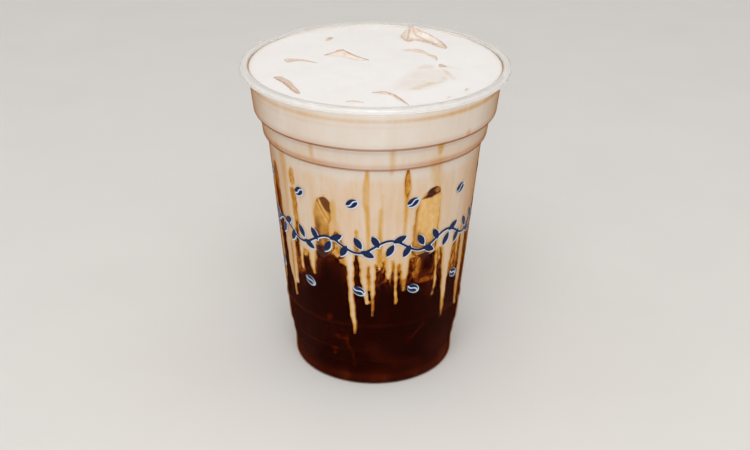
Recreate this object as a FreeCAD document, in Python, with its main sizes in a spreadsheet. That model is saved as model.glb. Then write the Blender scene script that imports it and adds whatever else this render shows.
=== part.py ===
import FreeCAD, Part
import math
import os
import Sketcher

# A 16 oz cold brew with cold foam, millimetres, +Z up.  The origin is on the table, on the cup's axis.
# The cup is one thin formed wall: a pushed-up base, a foot with two rings, a long tapered side, two
# wide stacking bands and a curled lip.  It is full to the lip: the cream foam floats on the coffee and
# runs down the inside of the wall in drips, and ice cubes stand in both.

doc = FreeCAD.newDocument("ColdBrew")
sheet = doc.addObject("Spreadsheet::Sheet", "Sizes")

SIZES = {
    # the cup as a whole
    "cup_height": 119.7,
    "lip_radius": 49.5,
    "base_radius": 31.0,
    "wall": 0.45,
    # the curled lip
    "lip_width": 3.3,
    "lip_skirt": 2.4,
    "lip_round": 1.1,
    "lip_return": 1.2,
    # the two stacking bands, measured down from the top
    "band_1_drop": 17.1,
    "band_1_narrowing": 2.15,
    "band_2_drop": 25.8,
    "band_2_narrowing": 0.95,
    "step_1": 2.2,
    "step_2": 1.65,
    "step_rise": 0.7,
    "shoulder_round": 1.35,
    "groove_round": 0.7,
    # the foot, measured up from the table
    "base_rise": 5.0,
    "base_flank": 1.7,
    "foot_land": 3.0,
    "heel_round": 1.2,
    "foot_height": 10.2,
    "foot_draft": 0.1,
    "ring_height": 5.5,
    "ring_draft": 0.3,
    "ring_step": 0.85,
    "ring_rise": 0.3,
    "ring_round": 0.25,
    "rib_height": 26.8,
    "rib_width": 2.4,
    "rib_depth": 0.35,
    "rib_round": 1.2,
    # the drink
    "foam_below_lip": 1.3,
    "foam_line": 56.0,
    "drip_overlap": 3.0,
    "drip_neck": 0.8,
    # the ice
    "ice_round": 1.6,
    "wall_ice_round": 3.5,
}

# How far the inside of the wall lies from the outside, in wall thicknesses, at an outer corner:
# inwards and up along the side, and up over the base.
SIDE_SHIFT = (-1.0, 0.7)
HEEL_SHIFT = (-1.0, 1.0)
FLANK_SHIFT = (0.7, 1.0)

# Drips on the wall that faces forwards: turn from the front in degrees, height of the tip, width
# where the drip leaves the foam, and width of its tip.
DRIP_SIZES = ("turn", "tip", "root", "end")
FRONT_DRIPS = [
    (-59.0, 33.5, 8.0, 2.0),
    (-54.8, 38.5, 3.2, 2.0),
    (-47.5, 47.5, 2.4, 1.6),
    (-37.5, 47.5, 4.2, 1.6),
    (-19.5, 54.0, 4.6, 2.2),
    (-12.6, 24.5, 3.2, 1.7),
    (-5.6, 38.0, 4.0, 1.3),
    (-0.8, 32.5, 2.4, 1.3),
    (7.3, 48.4, 3.4, 2.6),
    (12.9, 37.2, 2.6, 1.4),
    (18.0, 42.6, 4.2, 1.8),
    (39.0, 38.0, 1.6, 1.3),
    (48.3, 26.2, 7.4, 2.4),
    (57.0, 43.5, 3.4, 2.4),
    (65.5, 26.5, 5.0, 3.2),
]

# Drips round the rest of the wall are spaced evenly, with lengths and widths that vary in a fixed way.
BACK_DRIPS = 15
BACK_FROM = 76.0
BACK_TO = 290.0

# Ice cubes: where the middle is, how it is turned about Z, Y and X in degrees, and its three sides.
ICE_SIZES = ("x", "y", "z", "yaw", "pitch", "roll", "length", "width", "height")
ICE = {
    "ice_back_right": (16.2, 30.1, 112.0, -52.0, 33.0, -117.0, 19.0, 15.0, 10.5),
    "ice_left_centre": (-11.0, 6.4, 109.7, -50.0, 17.0, -167.0, 19.0, 12.0, 16.0),
    "ice_left": (-28.8, 8.5, 112.5, 87.0, 9.0, -177.0, 14.0, 13.5, 12.0),
    "ice_left_front": (-27.8, -19.5, 111.3, 31.0, 15.0, -176.0, 16.0, 18.0, 13.0),
    "ice_front_right": (12.0, -33.6, 111.9, 36.0, 15.0, -174.0, 16.0, 14.5, 12.5),
    "ice_front": (-6.1, -37.0, 112.9, 84.0, 18.0, -177.0, 11.5, 11.0, 10.5),
    "ice_right": (13.7, 5.2, 110.7, -133.0, 13.0, -177.0, 16.0, 19.0, 15.0),
}

# Two more cubes lean on the inside of the wall, under the foam, an upright edge outwards: the turn
# from the front, the height of the middle, how far that edge is melted to fit the wall, and the sides.
WALL_ICE_SIZES = ("turn", "middle", "melt", "side", "height")
WALL_ICE = {
    "ice_wall_left": (-28.5, 68.8, 2.8, 18.0, 23.5),
    "ice_wall_right": (30.5, 70.5, 4.0, 20.0, 27.0),
}


def back_drips():
    """Drips round the side that faces away, evenly spaced, with sizes that vary in a fixed way."""
    drips = []
    spacing = (BACK_TO - BACK_FROM) / (BACK_DRIPS - 1)
    for i in range(BACK_DRIPS):
        angle = BACK_FROM + spacing * i + 3.0 * math.sin(2.3 * i)
        tip = 39.0 + 9.0 * math.sin(1.7 * i + 0.6) + 4.0 * math.sin(4.1 * i)
        root = 4.2 + 1.8 * math.sin(2.9 * i + 1.0)
        drips.append((round(angle, 1), round(tip, 1), round(root, 1), round(1.2 + 0.2 * root, 1)))
    return drips


def all_sizes():
    """Every named size: the cup's and the drink's, then each drip's and each ice cube's."""
    sizes = dict(SIZES)
    for number, drip in enumerate(FRONT_DRIPS + back_drips(), start=1):
        for name, size in zip(DRIP_SIZES, drip):
            sizes[f"drip_{number}_{name}"] = size
    for names, cubes in ((ICE_SIZES, ICE), (WALL_ICE_SIZES, WALL_ICE)):
        for label, cube in cubes.items():
            for name, size in zip(names, cube):
                sizes[f"{label}_{name}"] = size
    return sizes


def fill_sheet():
    """Writes every named size to the sheet as text, with its alias."""
    for row, (alias, number) in enumerate(all_sizes().items(), start=1):
        sheet.set(f"A{row}", alias)
        sheet.set(f"B{row}", str(number))
        sheet.setAlias(f"B{row}", alias)


def cell(alias):
    """The expression that reads one size from the sheet."""
    return f"Sizes.{alias}"


def value(expression):
    """The number that an expression gives now."""
    return float(sheet.evalExpression(expression))


def own_plane(body, role):
    """One of the body's own origin planes, found by its role."""
    for feature in body.Origin.OriginFeatures:
        if feature.Role == role:
            return feature
    raise ValueError(f"{body.Name} has no {role}")


def upright_sketch(body, name):
    """A sketch on the body's own XZ plane: across is the distance from the axis, up is the height."""
    sketch = body.newObject("Sketcher::SketchObject", name)
    sketch.AttachmentSupport = (own_plane(body, "XZ_Plane"), [""])
    sketch.MapMode = "FlatFace"
    return sketch


def measure(name, expression, kind, *where):
    """A named constraint, and the expression that it will follow."""
    constraint = Sketcher.Constraint(kind, *where, value(expression))
    constraint.Name = name
    return constraint, expression


def corner_place(number, geometry, across, up):
    """The constraints that tie a point to its distance from the axis and its height.

    Where the distance or the height is none, the point lies on the sketch's own axis.
    """
    from_axis = (Sketcher.Constraint("PointOnObject", geometry, 1, -2), None)
    from_table = (Sketcher.Constraint("PointOnObject", geometry, 1, -1), None)
    if across is not None:
        from_axis = measure(f"across_{number}", across, "DistanceX", -1, 1, geometry, 1)
    if up is not None:
        from_table = measure(f"up_{number}", up, "DistanceY", -1, 1, geometry, 1)
    return [from_axis, from_table]


def corner_points(corners):
    """Where the corners are now, as vectors in the sketch."""
    points = []
    for across, up, _ in corners:
        x = 0.0 if across is None else value(across)
        y = 0.0 if up is None else value(up)
        points.append(FreeCAD.Vector(x, y, 0))
    return points


def rounding(before, corner, after, radius):
    """The arc that rounds a corner: its two tangent points, its middle and whether it turns left."""
    back = (before - corner).normalize()
    ahead = (after - corner).normalize()
    half = back.getAngle(ahead) / 2
    reach = radius / math.tan(half)
    middle = corner + (back + ahead).normalize() * (radius / math.sin(half))
    left = (corner - before).cross(after - corner).z > 0
    return corner + back * reach, corner + ahead * reach, middle, left


def rounded_section(sketch, corners):
    """Draws a closed outline through corners of (across, up, radius), each rounded where it has a radius.

    The first corner is sharp.  Straight edges aim at the corners, and arcs are tangent to both.
    """
    points = corner_points(corners)
    count = len(corners)
    arcs = {}
    leaves = []
    enters = []
    for i, (_, _, radius) in enumerate(corners):
        if radius is None:
            enters.append(points[i])
            leaves.append(points[i])
            continue
        start, end, middle, left = rounding(points[i - 1], points[i], points[(i + 1) % count], value(radius))
        enters.append(start)
        leaves.append(end)
        arcs[i] = (start, end, middle, left)

    lines = []
    for i in range(count):
        lines.append(sketch.addGeometry(Part.LineSegment(leaves[i], enters[(i + 1) % count])))

    rules = []
    for i, (across, up, radius) in enumerate(corners):
        line_in = lines[i - 1]
        line_out = lines[i]
        if radius is None:
            rules.append((Sketcher.Constraint("Coincident", line_in, 2, line_out, 1), None))
            rules += corner_place(i, line_out, across, up)
            continue
        start, end, middle, left = arcs[i]
        circle = Part.Circle(middle, FreeCAD.Vector(0, 0, 1), value(radius))
        first, last = (start, end) if left else (end, start)
        arc = sketch.addGeometry(Part.ArcOfCircle(circle, circle.parameter(first), circle.parameter(last)))
        near, far = (1, 2) if left else (2, 1)
        corner = sketch.addGeometry(Part.Point(points[i]), True)
        rules.append((Sketcher.Constraint("Tangent", line_in, 2, arc, near), None))
        rules.append((Sketcher.Constraint("Tangent", arc, far, line_out, 1), None))
        rules.append((Sketcher.Constraint("PointOnObject", corner, 1, line_in), None))
        rules.append((Sketcher.Constraint("PointOnObject", corner, 1, line_out), None))
        rules += corner_place(i, corner, across, up)
        rules.append(measure(f"round_{i}", radius, "Radius", arc))

    numbers = sketch.addConstraint([constraint for constraint, _ in rules])
    for number, (_, expression) in zip(numbers, rules):
        if expression is not None:
            sketch.setExpression(f"Constraints[{number}]", expression)


def revolve(body, sketch, name):
    """Turns a section once round the cup's axis."""
    turned = body.newObject("PartDesign::Revolution", name)
    turned.Profile = (sketch, [""])
    turned.ReferenceAxis = (sketch, ["V_Axis"])
    turned.Angle = 360
    sketch.Visibility = False
    return turned


# Distances from the axis and heights of the wall's outside, from the base up.
WALL = cell("wall")
FOOT_IN = f"({cell('base_radius')} - {cell('foot_land')})"
FOOT_OUT = f"({cell('base_radius')} + {cell('foot_draft')})"
RING_LOW = f"({FOOT_OUT} + {cell('ring_step')})"
RING_TOP = f"({RING_LOW} + {cell('ring_draft')})"
SIDE_LOW = f"({RING_TOP} + {cell('ring_step')})"
LIP_IN = f"({cell('lip_radius')} - {cell('lip_width')})"
BAND_1_TOP = f"({LIP_IN} + {WALL})"
BAND_1_LOW = f"({BAND_1_TOP} - {cell('band_1_narrowing')})"
BAND_2_TOP = f"({BAND_1_LOW} - {cell('step_1')})"
BAND_2_LOW = f"({BAND_2_TOP} - {cell('band_2_narrowing')})"
SIDE_TOP = f"({BAND_2_LOW} - {cell('step_2')})"

Z_BASE = cell("base_rise")
Z_RING_LOW = f"({cell('foot_height')} + {cell('ring_rise')})"
Z_RING_TOP = f"({Z_RING_LOW} + {cell('ring_height')})"
Z_SIDE_LOW = f"({Z_RING_TOP} + {cell('ring_rise')})"
Z_BAND_1_LOW = f"({cell('cup_height')} - {cell('band_1_drop')})"
Z_BAND_2_TOP = f"({Z_BAND_1_LOW} - {cell('step_rise')})"
Z_BAND_2_LOW = f"({cell('cup_height')} - {cell('band_2_drop')})"
Z_SIDE_TOP = f"({Z_BAND_2_LOW} - {cell('step_rise')})"
Z_RIB_LOW = f"({cell('rib_height')} - {cell('rib_width')} / 2)"
Z_RIB_TOP = f"({cell('rib_height')} + {cell('rib_width')} / 2)"
Z_LIP = cell("cup_height")
Z_SKIRT = f"({Z_LIP} - {cell('lip_skirt')})"
Z_FOAM = f"({Z_LIP} - {cell('foam_below_lip')})"


def across_at(height, low, high):
    """The distance from the axis, at a height, of the straight line through two (across, up) points."""
    share = f"({height} - {low[1]}) / ({high[1]} - {low[1]})"
    return f"({low[0]} + ({high[0]} - {low[0]}) * {share})"


SIDE_ENDS = ((SIDE_LOW, Z_SIDE_LOW), (SIDE_TOP, Z_SIDE_TOP))

# Where the long side starts and ends among the inside's corners.
SIDE_FROM = 7
SIDE_TO = 11

# The corners of the wall's outside, from the base up: distance from the axis, height, how the inside
# follows, the radius on the corner's tight side, and whether that tight side is the inside.
WALL_CORNERS = [
    (f"({FOOT_IN} - {cell('base_flank')})", Z_BASE, FLANK_SHIFT, cell("groove_round"), False),
    (FOOT_IN, "0", FLANK_SHIFT, cell("groove_round"), True),
    (cell("base_radius"), "0", HEEL_SHIFT, cell("heel_round"), True),
    (FOOT_OUT, cell("foot_height"), SIDE_SHIFT, cell("ring_round"), False),
    (RING_LOW, Z_RING_LOW, SIDE_SHIFT, cell("ring_round"), True),
    (RING_TOP, Z_RING_TOP, SIDE_SHIFT, cell("ring_round"), False),
    (SIDE_LOW, Z_SIDE_LOW, SIDE_SHIFT, cell("ring_round"), True),
    (across_at(Z_RIB_LOW, *SIDE_ENDS), Z_RIB_LOW, SIDE_SHIFT, cell("rib_round"), False),
    (f"({across_at(cell('rib_height'), *SIDE_ENDS)} + {cell('rib_depth')})", cell("rib_height"),
     SIDE_SHIFT, cell("rib_round"), True),
    (across_at(Z_RIB_TOP, *SIDE_ENDS), Z_RIB_TOP, SIDE_SHIFT, cell("rib_round"), False),
    (SIDE_TOP, Z_SIDE_TOP, SIDE_SHIFT, cell("groove_round"), False),
    (BAND_2_LOW, Z_BAND_2_LOW, SIDE_SHIFT, cell("shoulder_round"), True),
    (BAND_2_TOP, Z_BAND_2_TOP, SIDE_SHIFT, cell("groove_round"), False),
    (BAND_1_LOW, Z_BAND_1_LOW, SIDE_SHIFT, cell("shoulder_round"), True),
]


def outside_corners():
    """The wall's outside as corners of a section, from the base's middle up to band 1."""
    corners = [(None, Z_BASE, None)]
    for across, up, _, tight, inside_is_tight in WALL_CORNERS:
        radius = f"({tight} + {WALL})" if inside_is_tight else tight
        corners.append((across, None if up == "0" else up, radius))
    return corners


def inside_corners():
    """The wall's inside, one wall away, from the base's middle up to band 1."""
    corners = [(None, f"({Z_BASE} + {WALL})", None)]
    for across, up, shift, tight, inside_is_tight in WALL_CORNERS:
        radius = tight if inside_is_tight else f"({tight} + {WALL})"
        corners.append((f"({across} + {shift[0]} * {WALL})", f"({up} + {shift[1]} * {WALL})", radius))
    return corners


def lip_corners():
    """The lip curls out and down and turns in below: its hollow side first, then back over the top."""
    hollow_out = f"({cell('lip_radius')} - {WALL})"
    hollow_top = f"({Z_LIP} - {WALL})"
    hollow_low = f"({Z_SKIRT} + {WALL})"
    hollow_round = f"({cell('lip_round')} - {WALL})"
    end = f"({hollow_out} - {cell('lip_return')})"
    return [
        (BAND_1_TOP, hollow_top, hollow_round),
        (hollow_out, hollow_top, hollow_round),
        (hollow_out, hollow_low, hollow_round),
        (end, hollow_low, None),
        (end, Z_SKIRT, None),
        (cell("lip_radius"), Z_SKIRT, cell("lip_round")),
        (cell("lip_radius"), Z_LIP, cell("lip_round")),
        (LIP_IN, Z_LIP, cell("lip_round")),
    ]


def make_cup():
    """The cup: one wall, folded into its foot, rings, bands and lip, turned about its axis."""
    body = doc.addObject("PartDesign::Body", "Cup")
    body.Label = "cup"
    sketch = upright_sketch(body, "WallSection")
    rounded_section(sketch, outside_corners() + lip_corners() + inside_corners()[::-1])
    revolve(body, sketch, "WallTurned")
    return body


def make_fill():
    """All that fills the cup, up to the foam's level, touching the wall all over."""
    body = doc.addObject("PartDesign::Body", "Fill")
    body.Label = "whole_fill"
    sketch = upright_sketch(body, "FillSection")
    inside = inside_corners()
    edge = across_at(Z_FOAM, inside[-1][:2], (LIP_IN, Z_LIP))
    rounded_section(sketch, inside + [(edge, Z_FOAM, None), (None, Z_FOAM, None)])
    revolve(body, sketch, "FillTurned")
    return body


def placement(x, y, z, yaw="0", pitch="0", roll="0"):
    """An expression that places an object: its origin, then its turns about Z, Y and X."""
    where = f"create(<<vector>>; {x}; {y}; {z})"
    turns = f"create(<<rotation>>; {yaw}; {pitch}; {roll})"
    return f"create(<<placement>>; {where}; {turns})"


def bind(thing, **sizes):
    """Binds an object's properties to expressions."""
    for name, expression in sizes.items():
        thing.setExpression(name, expression)
    return thing


def boolean(kind, name, base, tool):
    """A cut or a common of two objects."""
    result = doc.addObject(f"Part::{kind}", name)
    result.Base = base
    result.Tool = tool
    return result


def fuse(name, pieces):
    """Several objects joined into one."""
    joined = doc.addObject("Part::MultiFuse", name)
    joined.Shapes = pieces
    return joined


def on_wall(turn, height):
    """The placement of a thing on the inside of the long side wall, leaning out as the wall does."""
    inside = [corner[:2] for corner in inside_corners()]
    low, high = inside[SIDE_FROM], inside[SIDE_TO]
    lean = f"atan(({high[0]} - {low[0]}) / ({high[1]} - {low[1]}))"
    around = f"({turn} - 90)"
    out = across_at(height, low, high)
    place = placement(f"{out} * cos({around} * 1deg)", f"{out} * sin({around} * 1deg)", height,
                      around, f"{lean} / 1deg")
    return place, lean


def make_drip(number):
    """A drip: a tongue that lies on the wall, narrows down to its tip and ends in a round bead."""
    own = f"drip_{number}_"
    bead = f"({cell(own + 'end')} / 2)"
    middle = f"({cell(own + 'tip')} + {bead})"
    place, lean = on_wall(cell(own + "turn"), middle)
    length = f"({cell('foam_line')} + {cell('drip_overlap')} - {middle}) / cos({lean})"

    tongue = doc.addObject("Part::Cone", f"DripTongue{number}")
    bind(tongue, Radius1=f"{bead} * {cell('drip_neck')}", Radius2=f"{cell(own + 'root')} / 2",
         Height=length, Placement=place)
    end = doc.addObject("Part::Sphere", f"DripBead{number}")
    bind(end, Radius=bead, Placement=place)
    return [tongue, end]


def make_foam_room(drip_count):
    """The room that foam takes if nothing else is there: all above its line, and the drips."""
    above = doc.addObject("Part::Cylinder", "AboveFoamLine")
    bind(above, Radius=cell("lip_radius"), Height=f"{Z_LIP} - {cell('foam_line')}",
         Placement=placement("0", "0", cell("foam_line")))
    pieces = [above]
    for number in range(1, drip_count + 1):
        pieces += make_drip(number)
    return fuse("FoamRoom", pieces)


def make_block(label, sides, radius, place):
    """A block of ice about its own middle, with melted edges, placed by an expression."""
    name = "".join(word.title() for word in label.split("_"))
    block = doc.addObject("Part::Box", name + "Block")
    bind(block, Length=sides[0], Width=sides[1], Height=sides[2])
    doc.recompute()
    rounded = doc.addObject("Part::Fillet", name + "Rounded")
    rounded.Base = block
    melted = value(radius)
    rounded.Edges = [(edge, melted, melted) for edge in range(1, len(block.Shape.Edges) + 1)]
    to_middle = placement(*[f"-{side} / 2" for side in sides])
    bind(rounded, Placement=f"{place} * {to_middle}")
    return rounded


def make_top_ice(label):
    """A cube that breaks the foam's surface."""
    own = {name: cell(f"{label}_{name}") for name in ICE_SIZES}
    place = placement(own["x"], own["y"], own["z"], own["yaw"], own["pitch"], own["roll"])
    cube = make_block(label, [own["length"], own["width"], own["height"]], cell("ice_round"), place)
    cube.Label = label
    return cube


def make_wall_ice(label, fill):
    """A cube that leans on the wall with one upright edge, which has melted to the wall's shape."""
    own = {name: cell(f"{label}_{name}") for name in WALL_ICE_SIZES}
    place, _ = on_wall(own["turn"], own["middle"])
    rounding_loss = f"{cell('wall_ice_round')} * (sqrt(2) - 1)"
    reach = f"({own['side']} / sqrt(2) - {rounding_loss} - {own['melt']})"
    edge_out = f"{place} * {placement(f'-{reach}', '0', '0', '45')}"
    cube = make_block(label, [own["side"], own["side"], own["height"]], cell("wall_ice_round"), edge_out)
    fitted = boolean("Common", cube.Name + "Fitted", cube, fill)
    fitted.Label = label
    return fitted


def check(things):
    """Stops where an object has failed or a sub-part isn't one valid solid."""
    for thing in doc.Objects:
        if "Invalid" in thing.State or "Error" in thing.State:
            raise ValueError(f"{thing.Name} has failed: {thing.State}")
    for thing in things:
        shape = thing.Shape
        if shape.isNull() or not shape.isValid() or len(shape.Solids) != 1:
            raise ValueError(f"{thing.Label} isn't one valid solid")


fill_sheet()
doc.recompute()
cup = make_cup()
fill = make_fill()
ice = [make_top_ice(label) for label in ICE] + [make_wall_ice(label, fill) for label in WALL_ICE]
foam_room = make_foam_room(len(FRONT_DRIPS) + BACK_DRIPS)

drink = boolean("Cut", "FillRoundIce", fill, fuse("AllIce", ice))
foam = boolean("Common", "Foam", drink, foam_room)
foam.Label = "cold_foam"
brew = boolean("Cut", "Brew", drink, foam_room)
brew.Label = "cold_brew"
doc.recompute()

parts = [cup, foam, brew] + ice
check(parts)
os.makedirs("parts", exist_ok=True)
for part in parts:
    part.Shape.exportStep(f"parts/{part.Label}.step")
    print(f"{part.Label}: {part.Shape.Volume / 1000:.2f} cm3, {len(part.Shape.Faces)} faces")
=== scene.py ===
import math

import bmesh
import bpy
import numpy as np
from mathutils import Matrix, Vector


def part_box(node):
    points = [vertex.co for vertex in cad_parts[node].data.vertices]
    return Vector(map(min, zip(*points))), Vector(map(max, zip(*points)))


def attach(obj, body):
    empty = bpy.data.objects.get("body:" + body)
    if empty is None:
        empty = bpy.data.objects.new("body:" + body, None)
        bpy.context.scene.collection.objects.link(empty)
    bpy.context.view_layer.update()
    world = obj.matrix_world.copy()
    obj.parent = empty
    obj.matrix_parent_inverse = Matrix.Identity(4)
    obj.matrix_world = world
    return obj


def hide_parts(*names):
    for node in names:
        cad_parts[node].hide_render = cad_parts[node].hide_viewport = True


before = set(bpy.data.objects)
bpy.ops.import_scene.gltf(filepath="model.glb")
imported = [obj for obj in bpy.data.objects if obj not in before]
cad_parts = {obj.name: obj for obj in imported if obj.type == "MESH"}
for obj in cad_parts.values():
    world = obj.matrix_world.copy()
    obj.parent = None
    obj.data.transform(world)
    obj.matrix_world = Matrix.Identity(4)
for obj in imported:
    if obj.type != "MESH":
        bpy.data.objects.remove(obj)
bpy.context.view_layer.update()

# Sizes are in millimetres, turns in degrees from the front (-Y), positive to the right (+X), and
# heights above the table.  MM turns them into the frame's metres.
MM = 0.001

# ---- The cup's wall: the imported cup's corners, so that the drink can follow its inside ----

CUP_HEIGHT = round(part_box("cup")[1][2] / MM, 1)
LIP_RADIUS = 49.5
LIP_WIDTH = 3.3
LIP_SKIRT = 2.4
LIP_ROUND = 1.1
LIP_RETURN = 1.2
BASE_RADIUS = 31.0
BASE_RISE = 5.0
WALL = 0.45
FOAM_BELOW_LIP = 1.3
FOAM_LEVEL = CUP_HEIGHT - FOAM_BELOW_LIP

SIDE_SHIFT = (-1.0, 0.7)
HEEL_SHIFT = (-1.0, 1.0)
FLANK_SHIFT = (0.7, 1.0)

RIM_IN = LIP_RADIUS - LIP_WIDTH
SIDE_LOW = (33.1, 16.3)
SIDE_TOP = (39.95, 93.2)


def side_radius(height):
    """The outside's distance from the axis on the long side."""
    share = (height - SIDE_LOW[1]) / (SIDE_TOP[1] - SIDE_LOW[1])
    return SIDE_LOW[0] + (SIDE_TOP[0] - SIDE_LOW[0]) * share


# Each corner of the outside: place, how the inside follows in wall thicknesses, the radius on the
# corner's tight side, and whether the tight side is the inside.
WALL_CORNERS = [
    ((26.3, BASE_RISE), FLANK_SHIFT, 0.7, False),
    ((28.0, 0.0), FLANK_SHIFT, 0.7, True),
    ((BASE_RADIUS, 0.0), HEEL_SHIFT, 1.2, True),
    ((31.1, 10.2), SIDE_SHIFT, 0.25, False),
    ((31.95, 10.5), SIDE_SHIFT, 0.25, True),
    ((32.25, 16.0), SIDE_SHIFT, 0.25, False),
    (SIDE_LOW, SIDE_SHIFT, 0.25, True),
    ((side_radius(25.6), 25.6), SIDE_SHIFT, 1.2, False),
    ((side_radius(26.8) + 0.35, 26.8), SIDE_SHIFT, 1.2, True),
    ((side_radius(28.0), 28.0), SIDE_SHIFT, 1.2, False),
    (SIDE_TOP, SIDE_SHIFT, 0.7, False),
    ((41.6, 93.9), SIDE_SHIFT, 1.35, True),
    ((42.55, 101.9), SIDE_SHIFT, 0.7, False),
    ((44.75, 102.6), SIDE_SHIFT, 1.35, True),
]


def arc_through(before, corner, after, radius, turn_step=9.0):
    """Points of the arc that rounds a corner."""
    before, corner, after = (np.array(p, float) for p in (before, corner, after))
    back = (before - corner) / np.linalg.norm(before - corner)
    ahead = (after - corner) / np.linalg.norm(after - corner)
    half = math.acos(np.clip(back @ ahead, -1, 1)) / 2
    reach = radius / math.tan(half)
    middle = corner + (back + ahead) / np.linalg.norm(back + ahead) * radius / math.sin(half)
    first = corner + back * reach - middle
    last = corner + ahead * reach - middle
    start = math.atan2(first[1], first[0])
    sweep = math.atan2(first[0] * last[1] - first[1] * last[0], first @ last)
    count = max(2, math.ceil(abs(math.degrees(sweep)) / turn_step))
    turns = start + sweep * np.linspace(0, 1, count + 1)
    return [middle + radius * np.array([math.cos(t), math.sin(t)]) for t in turns]


def rounded_path(corners):
    """An open path through (place, radius) corners; the ends and corners with no radius stay sharp."""
    points = []
    for i, (place, radius) in enumerate(corners):
        if radius is None or i in (0, len(corners) - 1):
            points.append(np.array(place, float))
        else:
            points += arc_through(corners[i - 1][0], place, corners[i + 1][0], radius)
    return np.array(points)


def wall_corners(inside):
    """One side of the wall from the middle of the base up to band 1, as (place, radius) corners."""
    corners = [((0.0, BASE_RISE + WALL * inside), None)]
    for place, shift, tight, inside_is_tight in WALL_CORNERS:
        moved = (place[0] + shift[0] * WALL * inside, place[1] + shift[1] * WALL * inside)
        corners.append((moved, tight + WALL * (inside != inside_is_tight)))
    return corners


def lip_corners():
    """The curled lip, its hollow side first, then back over the top to the inside of the wall."""
    out = LIP_RADIUS - WALL
    top = CUP_HEIGHT - WALL
    skirt = CUP_HEIGHT - LIP_SKIRT
    hollow = LIP_ROUND - WALL
    return [
        ((RIM_IN + WALL, top), hollow),
        ((out, top), hollow),
        ((out, skirt + WALL), hollow),
        ((out - LIP_RETURN, skirt + WALL), None),
        ((out - LIP_RETURN, skirt), None),
        ((LIP_RADIUS, skirt), LIP_ROUND),
        ((LIP_RADIUS, CUP_HEIGHT), LIP_ROUND),
        ((RIM_IN, CUP_HEIGHT), LIP_ROUND),
    ]


def resample(path, step):
    """The path with points no further apart than step."""
    dense = [path[0]]
    for a, b in zip(path[:-1], path[1:]):
        count = max(1, math.ceil(np.linalg.norm(b - a) / step))
        dense += [a + (b - a) * k / count for k in range(1, count + 1)]
    return np.array(dense)


def pushed_out(path, distance):
    """The path moved outwards, away from the drink, along its own normals."""
    ahead = np.gradient(path, axis=0)
    length = np.linalg.norm(ahead, axis=1)[:, None]
    normal = np.stack([ahead[:, 1], -ahead[:, 0]], axis=1) / length
    return path + normal * distance


INSIDE = rounded_path(wall_corners(True) + [((RIM_IN, CUP_HEIGHT), None)])


def inside_between(low, high, step, distance):
    """The wall's inside between two heights, up the side, finely divided and pushed into the wall."""
    path = pushed_out(resample(INSIDE, step), distance)
    heel = int(np.argmin(path[:, 1]))
    path = path[int(np.argmin(path[:, 1])):]
    return path[(path[:, 1] >= low) & (path[:, 1] <= high)]


# ---- Meshes ----


def on_axis(radius, height, turn):
    """Points in metres at a distance from the axis, a height and a turn from the front."""
    turn = np.radians(turn)
    return np.stack([radius * np.sin(turn), -radius * np.cos(turn), height], axis=-1) * MM


def make_piece(name, points, faces, smooth=True):
    """A mesh object in the frame."""
    mesh = bpy.data.meshes.new(name)
    mesh.from_pydata([tuple(p) for p in points], [], [tuple(int(i) for i in f) for f in faces])
    mesh.validate()
    mesh.shade_smooth() if smooth else mesh.shade_flat()
    piece = bpy.data.objects.new(name, mesh)
    bpy.context.scene.collection.objects.link(piece)
    return piece


def write_mask(piece, name, numbers):
    """Stores one number for each vertex, which the material reads by name."""
    layer = piece.data.attributes.new(name, "FLOAT", "POINT")
    layer.data.foreach_set("value", np.asarray(numbers, np.float32))


def vertex_places(piece):
    """The piece's vertices in millimetres, one row for each."""
    return np.array([v.co for v in piece.data.vertices]) / MM


def grid_faces(rows, columns, closed):
    """Quads of a grid of vertices, numbered row by row; closed joins the last column to the first."""
    row = np.arange(rows - 1)[:, None]
    column = np.arange(columns if closed else columns - 1)[None, :]
    after = (column + 1) % columns
    a = row * columns + column
    b = row * columns + after
    return np.stack([a, b, b + columns, a + columns], axis=-1).reshape(-1, 4)


def turned(name, path, count):
    """Turns an open path from the axis back to the axis, or a closed one, once round the axis."""
    turns = np.arange(count) * 360.0 / count
    radius, turn = np.meshgrid(path[:, 0], turns, indexing="ij")
    height = np.repeat(path[:, 1], count).reshape(radius.shape)
    points = on_axis(radius, height, turn).reshape(-1, 3)
    piece = make_piece(name, points, grid_faces(len(path), count, True))
    weld(piece)
    return piece


def weld(piece, distance=0.002 * MM):
    """Merges vertices that lie in one place, such as those on the axis."""
    form = bmesh.new()
    form.from_mesh(piece.data)
    bmesh.ops.remove_doubles(form, verts=form.verts, dist=distance)
    bmesh.ops.recalc_face_normals(form, faces=form.faces)
    form.to_mesh(piece.data)
    form.free()


def smoothstep(low, high, value):
    """0 below low, 1 above high, and a smooth rise between."""
    share = np.clip((value - low) / (high - low), 0.0, 1.0)
    return share * share * (3.0 - 2.0 * share)


def bell(offset, reach):
    """1 at no offset, falling smoothly away on both sides over about the reach."""
    return np.exp(-(offset / reach) ** 2)


def melted(one, other, blend):
    """The distance outside two shapes joined, with the corner between them rounded over blend."""
    mix = np.clip(0.5 + 0.5 * (other - one) / blend, 0.0, 1.0)
    return other * (1 - mix) + one * mix - blend * mix * (1 - mix)


def from_front(turn):
    """The turn in the range -180 to 180."""
    return np.where(turn > 180.0, turn - 360.0, turn)


def facing(turn):
    """The turn in the range -70 to 290, so that the drips at the back follow those in front."""
    return np.where(turn < -70.0, turn + 360.0, turn)


# ---- Shapes on the wall: ribbons that run down it ----

# The millimetres in one degree round the wall, about halfway up it.
MM_PER_DEGREE = math.radians(1.0) * 37.0
ROW_STEP = 0.25
FAR = 99.0


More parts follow.
